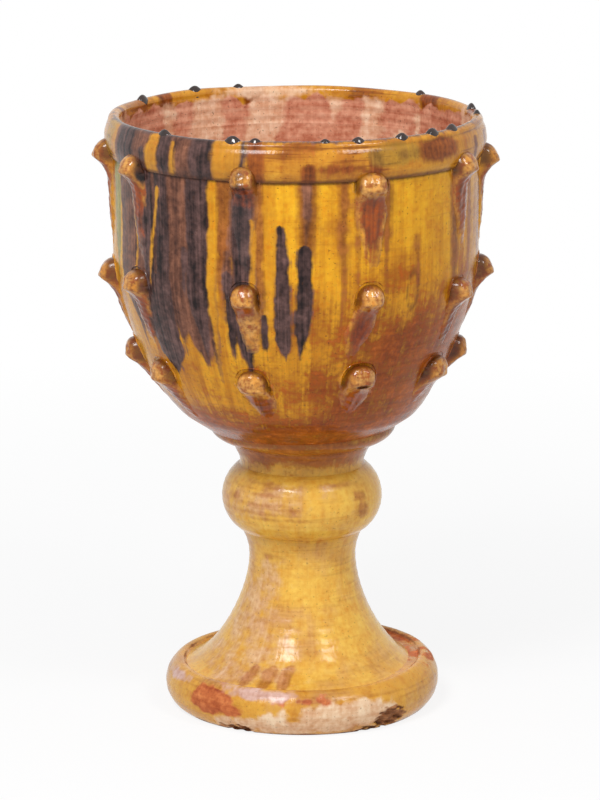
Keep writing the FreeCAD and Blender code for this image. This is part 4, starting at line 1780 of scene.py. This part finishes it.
        # Dark outline round the stub where it meets the wall: painted shade
        corner = outline_shade_half - np.abs(apart - 1.0) * radius / 2 - fade * np.maximum(down - outline_shade_end, 0.0)
        within = half - np.abs(centred)
        amber_inset, brown_inset, brown_start, bow = 0.5, 3.0, 5.0, 0.07
        amber = np.minimum(within - amber_inset, fade * (self.habit.amber * body - down))
        pooled = np.minimum(within - brown_inset, fade * (down - brown_start - bow * centred ** 2))
        # A little even browning, then painted shade: browner on the right side, away from the key lamp, and just
        # under the end
        brown = (0.2 + 0.3 * np.clip(centred / half, -1.0, 1.0) * smooth(down, 2.0, 12.0)
                 + 0.4 * smooth(down, 2.0, 9.0) * (1.0 - smooth(down, 14.0, 40.0)))
        return {
            Mark.KNOB: np.minimum(amber, (1.0 - apart) * radius / 2),
            Mark.HORN: np.minimum(pooled, 0.3 * (self.habit.brown * body - down)),
            # Painted shade round the outline and inside the slot
            Mark.CREASE: np.maximum(corner, np.where(self.habit.slot > 0.0, 3.0 * slot, NOWHERE)),
            Mark.SCORCH_AND_SHADE: brown * smooth(within, -2.0, 4.0) * (1.0 - smooth(down, 0.6 * tail, tail)),
        }

    def build(self, materials: Materials) -> bpy.types.Object:
        """Lays the stub's height on the wall as a grid, buries its edge and closes its back.

        Args:
            materials: Made materials by finish.

        Returns:
            The piece.
        """
        radius, tail = self.row.value.radius, self.row.value.tail
        buried, deepest_front, behind, crowding = 3.0, 2.5, 4.0, 1.35
        azimuth, row_z = self.seat()
        half = self.habit.girth * radius + self.smear + self.margin + abs(self.habit.lean) * tail
        top = radius + self.knob_rise + self.margin
        up = top - (top + tail + self.margin) * np.linspace(0.0, 1.0, self.rows) ** crowding
        aside, up = np.meshgrid(np.linspace(-half, half, self.columns), up)
        height, own = self.height_above(aside, up)
        edge = np.zeros(height.shape, bool)
        edge[[0, -1], :] = True
        edge[:, [0, -1]] = True
        height = np.where(edge, np.minimum(height, -buried), np.maximum(height, -deepest_front))
        z = row_z + up
        wall = self.bowl.wall_radius(z)
        place = Place(azimuth + np.degrees(aside / wall), wall + height, z)
        fields = own | run_depths(WALL_MARKS, place)
        fields[Mark.SCORCH_AND_SHADE] += self.bowl.scorch(place)
        points = place.points(0.0)
        middle = np.array([z.mean()])
        back = Place(np.array([azimuth]), self.bowl.wall_radius(middle) - behind, middle).points(0.0)
        fields = {mark: np.append(values.ravel(), 0.0) for mark, values in fields.items()}
        return add_piece(self.node, np.concatenate([points, back]), self.faces(), fields,
                         materials[Finish.STUB])

    def faces(self) -> Array:
        """Quads of the front, which face away from the wall, and triangles from its edge to one point behind."""
        number = np.arange(self.rows * self.columns).reshape(self.rows, self.columns)
        front = np.stack([number[1:, :-1], number[1:, 1:], number[:-1, 1:], number[:-1, :-1]], axis=-1)
        loop = np.concatenate([number[0, :-1], number[:-1, -1], number[-1, :0:-1], number[:0:-1, 0]])
        behind = np.full(len(loop), number.size)
        fan = np.stack([loop, np.roll(loop, -1), behind, behind], axis=1)
        return np.concatenate([front.reshape(-1, 4), fan])


@dataclass
class GlazeDrop:
    """A bead of dark glaze that hung from the rim while the planter was fired upside down.

    Attributes:
        node: CAD node that it stands for.
        rim: Rim that it sits on.
        rings: Rings of points from its tip to its buried edge.
        columns: Points in a ring.
        skirt: How far its foot spreads across the crest, as a share of the CAD drop's height.
        spread: How far it spreads along the crest, as a share of that height.
        height_share: Its height, as a share of that height.
        softness: Power that softens its foot.
        bed: How deep it lies in the crest.
        buried: How much deeper its edge lies.
        root: How far below the crest its lowest point is.
    """

    node: str
    rim: RimRoll
    rings: int = 16
    columns: int = 28
    skirt: float = 1.0
    spread: float = 1.5
    height_share: float = 0.85
    softness: float = 1.2
    bed: float = 0.3
    buried: float = 2.0
    root: float = 3.0

    def build(self, materials: Materials) -> bpy.types.Object:
        """Raises a rounded dome on the curve of the crest.

        The dome's height is one less the squared share of the way to its foot, to a power that softens the foot,
        and it stands on the curve of the crest.

        Args:
            materials: Made materials by finish.

        Returns:
            The piece.
        """
        low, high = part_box(self.node)
        crest = self.rim.extent.high
        tip = high.z / MM - crest
        middle_x, middle_y = (low.x + high.x) / 2 / MM, (low.y + high.y) / 2 / MM
        azimuth = math.degrees(math.atan2(middle_x, -middle_y))
        turns = np.linspace(0.0, math.tau, self.columns, endpoint=False)
        share, turn = np.meshgrid(np.linspace(0.0, 1.0, self.rings), turns, indexing="ij")
        outward = self.skirt * tip * share * np.cos(turn)
        around = self.spread * tip * share * np.sin(turn)
        line = self.rim.crest_radius
        dome = self.height_share * tip * (1.0 - share ** 2) ** self.softness
        height = self.rim.crest_height(line + outward) + dome - self.bed
        height[-1] -= self.buried
        place = Place(azimuth + np.degrees(around / line), line + outward, height)
        points = place.points(0.0)[self.columns - 1:]
        under = points.mean(axis=0) - np.array([0.0, 0.0, (tip + self.root) * MM])
        points = np.concatenate([points, under[None]])
        fields = {Mark.SCORCH_AND_SHADE: np.zeros(len(points))}
        return add_piece(self.node, points, self.faces(), fields, materials[Finish.DROP])

    def faces(self) -> Array:
        """Triangles round the tip, quads down the dome, triangles to one point beneath."""
        number = np.arange(1, 1 + (self.rings - 1) * self.columns).reshape(self.rings - 1, self.columns)
        beside = np.roll(number, -1, axis=1)
        tip = np.zeros(self.columns, int)
        base = np.full(self.columns, number.size + 1)
        cap = np.stack([number[0], beside[0], tip, tip], axis=1)
        dome = np.stack([number[1:], beside[1:], beside[:-1], number[:-1]], axis=-1).reshape(-1, 4)
        floor = np.stack([beside[-1], number[-1], base, base], axis=1)
        return np.concatenate([cap, dome, floor])


@dataclass
class Planter:
    """The whole planter, from its foot to the drops on its rim.

    Attributes:
        columns: Stubs in a row.
        drops: Drops on the rim.
        seed: Seed of what differs from stub to stub.
        stub_seed: Number before the seed of a row's first stub.
        leans: Range of the leans of stubs without a habit of their own.
        girths: Range of their girths.
        smears: Range of the widths of smeared slip.
        cuts: Range of the slopes of the end faces.
    """

    columns: int = 10
    drops: int = 14
    seed: int = 17
    stub_seed: int = 100
    leans: Point = (-0.05, 0.05)
    girths: Point = (0.92, 1.1)
    smears: Point = (6.0, 11.0)
    cuts: Point = (0.2, 0.45)

    def build(self) -> None:
        """Makes the materials, then each piece in the order that the potter joined them."""
        materials = {finish: finish.value.make() for finish in Finish}
        bowl, rim = Bowl(), RimRoll()
        for piece in (FootRing(), Stem(), Knop(), Neck(), JointCollar(), bowl, rim):
            piece.build(materials)
        rng = np.random.default_rng(self.seed)
        for row in Row:
            for column in range(1, self.columns + 1):
                node = f"{row.value.name}_stub_{column:02d}"
                plain = Habit(lean=rng.uniform(*self.leans), girth=rng.uniform(*self.girths))
                stub = BranchStub(node, row, bowl, self.stub_seed + column, HABITS.get(node, plain),
                                  smear=rng.uniform(*self.smears), cut=rng.uniform(*self.cuts))
                stub.build(materials)
        for number in range(1, self.drops + 1):
            GlazeDrop(f"rim_drop_{number:02d}", rim).build(materials)


@dataclass
class Studio:
    """White studio: a floor that fades into white, two soft lamps in front, and the camera of the photograph.

    Attributes:
        camera_place: Camera's place in metres.
        camera_pitch: Degrees that it looks down.
        lens: Focal length in millimetres.
        sensor: Height of its sensor in millimetres.
        lamp_distance: Metres from the lamps to what they face.
        lamps: Azimuth and elevation in degrees, size in metres and watts of each lamp.
        target_height: Height that they face, in metres.
        floor_radius: Radius of the floor in metres.
        floor_sides: Sides of its outline.
        glow_ends: Metres from the planter at which it begins to fade, and the share of its radius at which it ends.
        glow: How much of it is white beside the planter.
        paper: Colour of the floor.
        ambient: Colour of the light from all round.
        white: Colour of the backdrop.
    """

    camera_place: tuple[float, float, float] = (0.004, -3.78, 1.17)
    camera_pitch: float = 13.04
    lens: float = 184.0
    sensor: float = 36.0
    lamp_distance: float = 2.4
    lamps: tuple[tuple[float, float, float, float], ...] = ((-26.0, 46.0, 0.72, 41.0), (44.0, 44.0, 0.56, 17.0))
    target_height: float = 0.33
    floor_radius: float = 1.6
    floor_sides: int = 96
    glow_ends: Point = (0.2, 0.95)
    glow: float = 0.86
    paper: str = "#f4f4f4"
    ambient: str = "#929296"
    white: str = "#ffffff"

    def build(self) -> None:
        """Sets the stage."""
        bpy.context.scene.view_settings.view_transform = "Standard"
        self._camera()
        self._lamps()
        self._floor()
        self._world()

    def _camera(self) -> None:
        """Camera at the photograph's place, without depth of field."""
        camera = bpy.data.cameras.new("camera")
        camera.sensor_fit = "VERTICAL"
        camera.sensor_height = self.sensor
        camera.lens = self.lens
        viewer = bpy.data.objects.new("camera", camera)
        viewer.location = self.camera_place
        viewer.rotation_euler = (math.radians(90.0 - self.camera_pitch), 0.0, 0.0)
        bpy.context.scene.collection.objects.link(viewer)
        bpy.context.scene.camera = viewer

    def _lamps(self) -> None:
        """Square soft boxes that face the planter."""
        for number, (azimuth, elevation, size, watts) in enumerate(self.lamps):
            lamp = bpy.data.lights.new(f"soft_box_{number}", "AREA")
            lamp.size = size
            lamp.energy = watts
            box = bpy.data.objects.new(lamp.name, lamp)
            turn, climb = math.radians(azimuth), math.radians(elevation)
            level = self.lamp_distance * math.cos(climb)
            box.location = (level * math.sin(turn), -level * math.cos(turn),
                            self.target_height + self.lamp_distance * math.sin(climb))
            box.rotation_euler = (math.radians(90.0) - climb, 0.0, turn)
            bpy.context.scene.collection.objects.link(box)

    def _seen(self, tree: Tree) -> Socket:
        """One for rays from the camera, in reflections and through glass, and zero for light that is scattered."""
        path = add_node(tree, "ShaderNodeLightPath").outputs
        direct = add_node(tree, "ShaderNodeMath", {0: path["Is Camera Ray"], 1: path["Is Glossy Ray"]},
                          operation="MAXIMUM").outputs["Value"]
        return add_node(tree, "ShaderNodeMath", {0: direct, 1: path["Is Transmission Ray"]},
                        operation="MAXIMUM").outputs["Value"]

    def _floor(self) -> None:
        """Round pale floor that keeps the shadow near the planter and fades to white at its edge."""
        turn = np.linspace(0.0, math.tau, self.floor_sides, endpoint=False)
        rim = np.stack([self.floor_radius * np.cos(turn), self.floor_radius * np.sin(turn), 0.0 * turn], axis=1)
        mesh = bpy.data.meshes.new("studio_floor")
        mesh.from_pydata(rim.tolist(), [], [list(range(len(turn)))])
        material = bpy.data.materials.new("white_paper")
        material.use_nodes = True
        tree = material.node_tree
        tree.nodes.clear()
        place = add_node(tree, "ShaderNodeTexCoord").outputs["Object"]
        distance = add_node(tree, "ShaderNodeVectorMath", {0: place}, operation="LENGTH").outputs["Value"]
        near, far = self.glow_ends
        white = add_node(
            tree, "ShaderNodeMapRange",
            {"Value": distance, "From Min": near, "From Max": far * self.floor_radius, "To Min": self.glow},
        ).outputs["Result"]
        share = add_node(tree, "ShaderNodeMath", {0: white, 1: self._seen(tree)}, operation="MULTIPLY")
        paper = add_node(tree, "ShaderNodeBsdfDiffuse", {"Color": linear(self.paper)})
        glow = add_node(tree, "ShaderNodeEmission", {"Color": linear(self.white), "Strength": 1.0})
        mixed = add_node(tree, "ShaderNodeMixShader",
                         {0: share.outputs["Value"], 1: paper.outputs["BSDF"], 2: glow.outputs["Emission"]})
        add_node(tree, "ShaderNodeOutputMaterial", {"Surface": mixed.outputs["Shader"]})
        mesh.materials.append(material)
        floor = bpy.data.objects.new("studio_floor", mesh)
        bpy.context.scene.collection.objects.link(floor)

    def _world(self) -> None:
        """White to the eye and in reflections, a soft grey as light."""
        world = bpy.data.worlds.new("studio")
        world.use_nodes = True
        tree = world.node_tree
        tree.nodes.clear()
        colour = add_node(tree, "ShaderNodeMix", {0: self._seen(tree), 6: linear(self.ambient),
                                                  7: linear(self.white)}, data_type="RGBA").outputs[2]
        light = add_node(tree, "ShaderNodeBackground", {"Color": colour, "Strength": 1.0})
        add_node(tree, "ShaderNodeOutputWorld", {"Surface": light.outputs["Background"]})
        bpy.context.scene.world = world


def main() -> None:
    """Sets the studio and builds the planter."""
    logging.basicConfig(level=logging.INFO, format="%(name)s: %(message)s")
    Studio().build()
    Planter().build()


if __name__ == "__main__":
    main()
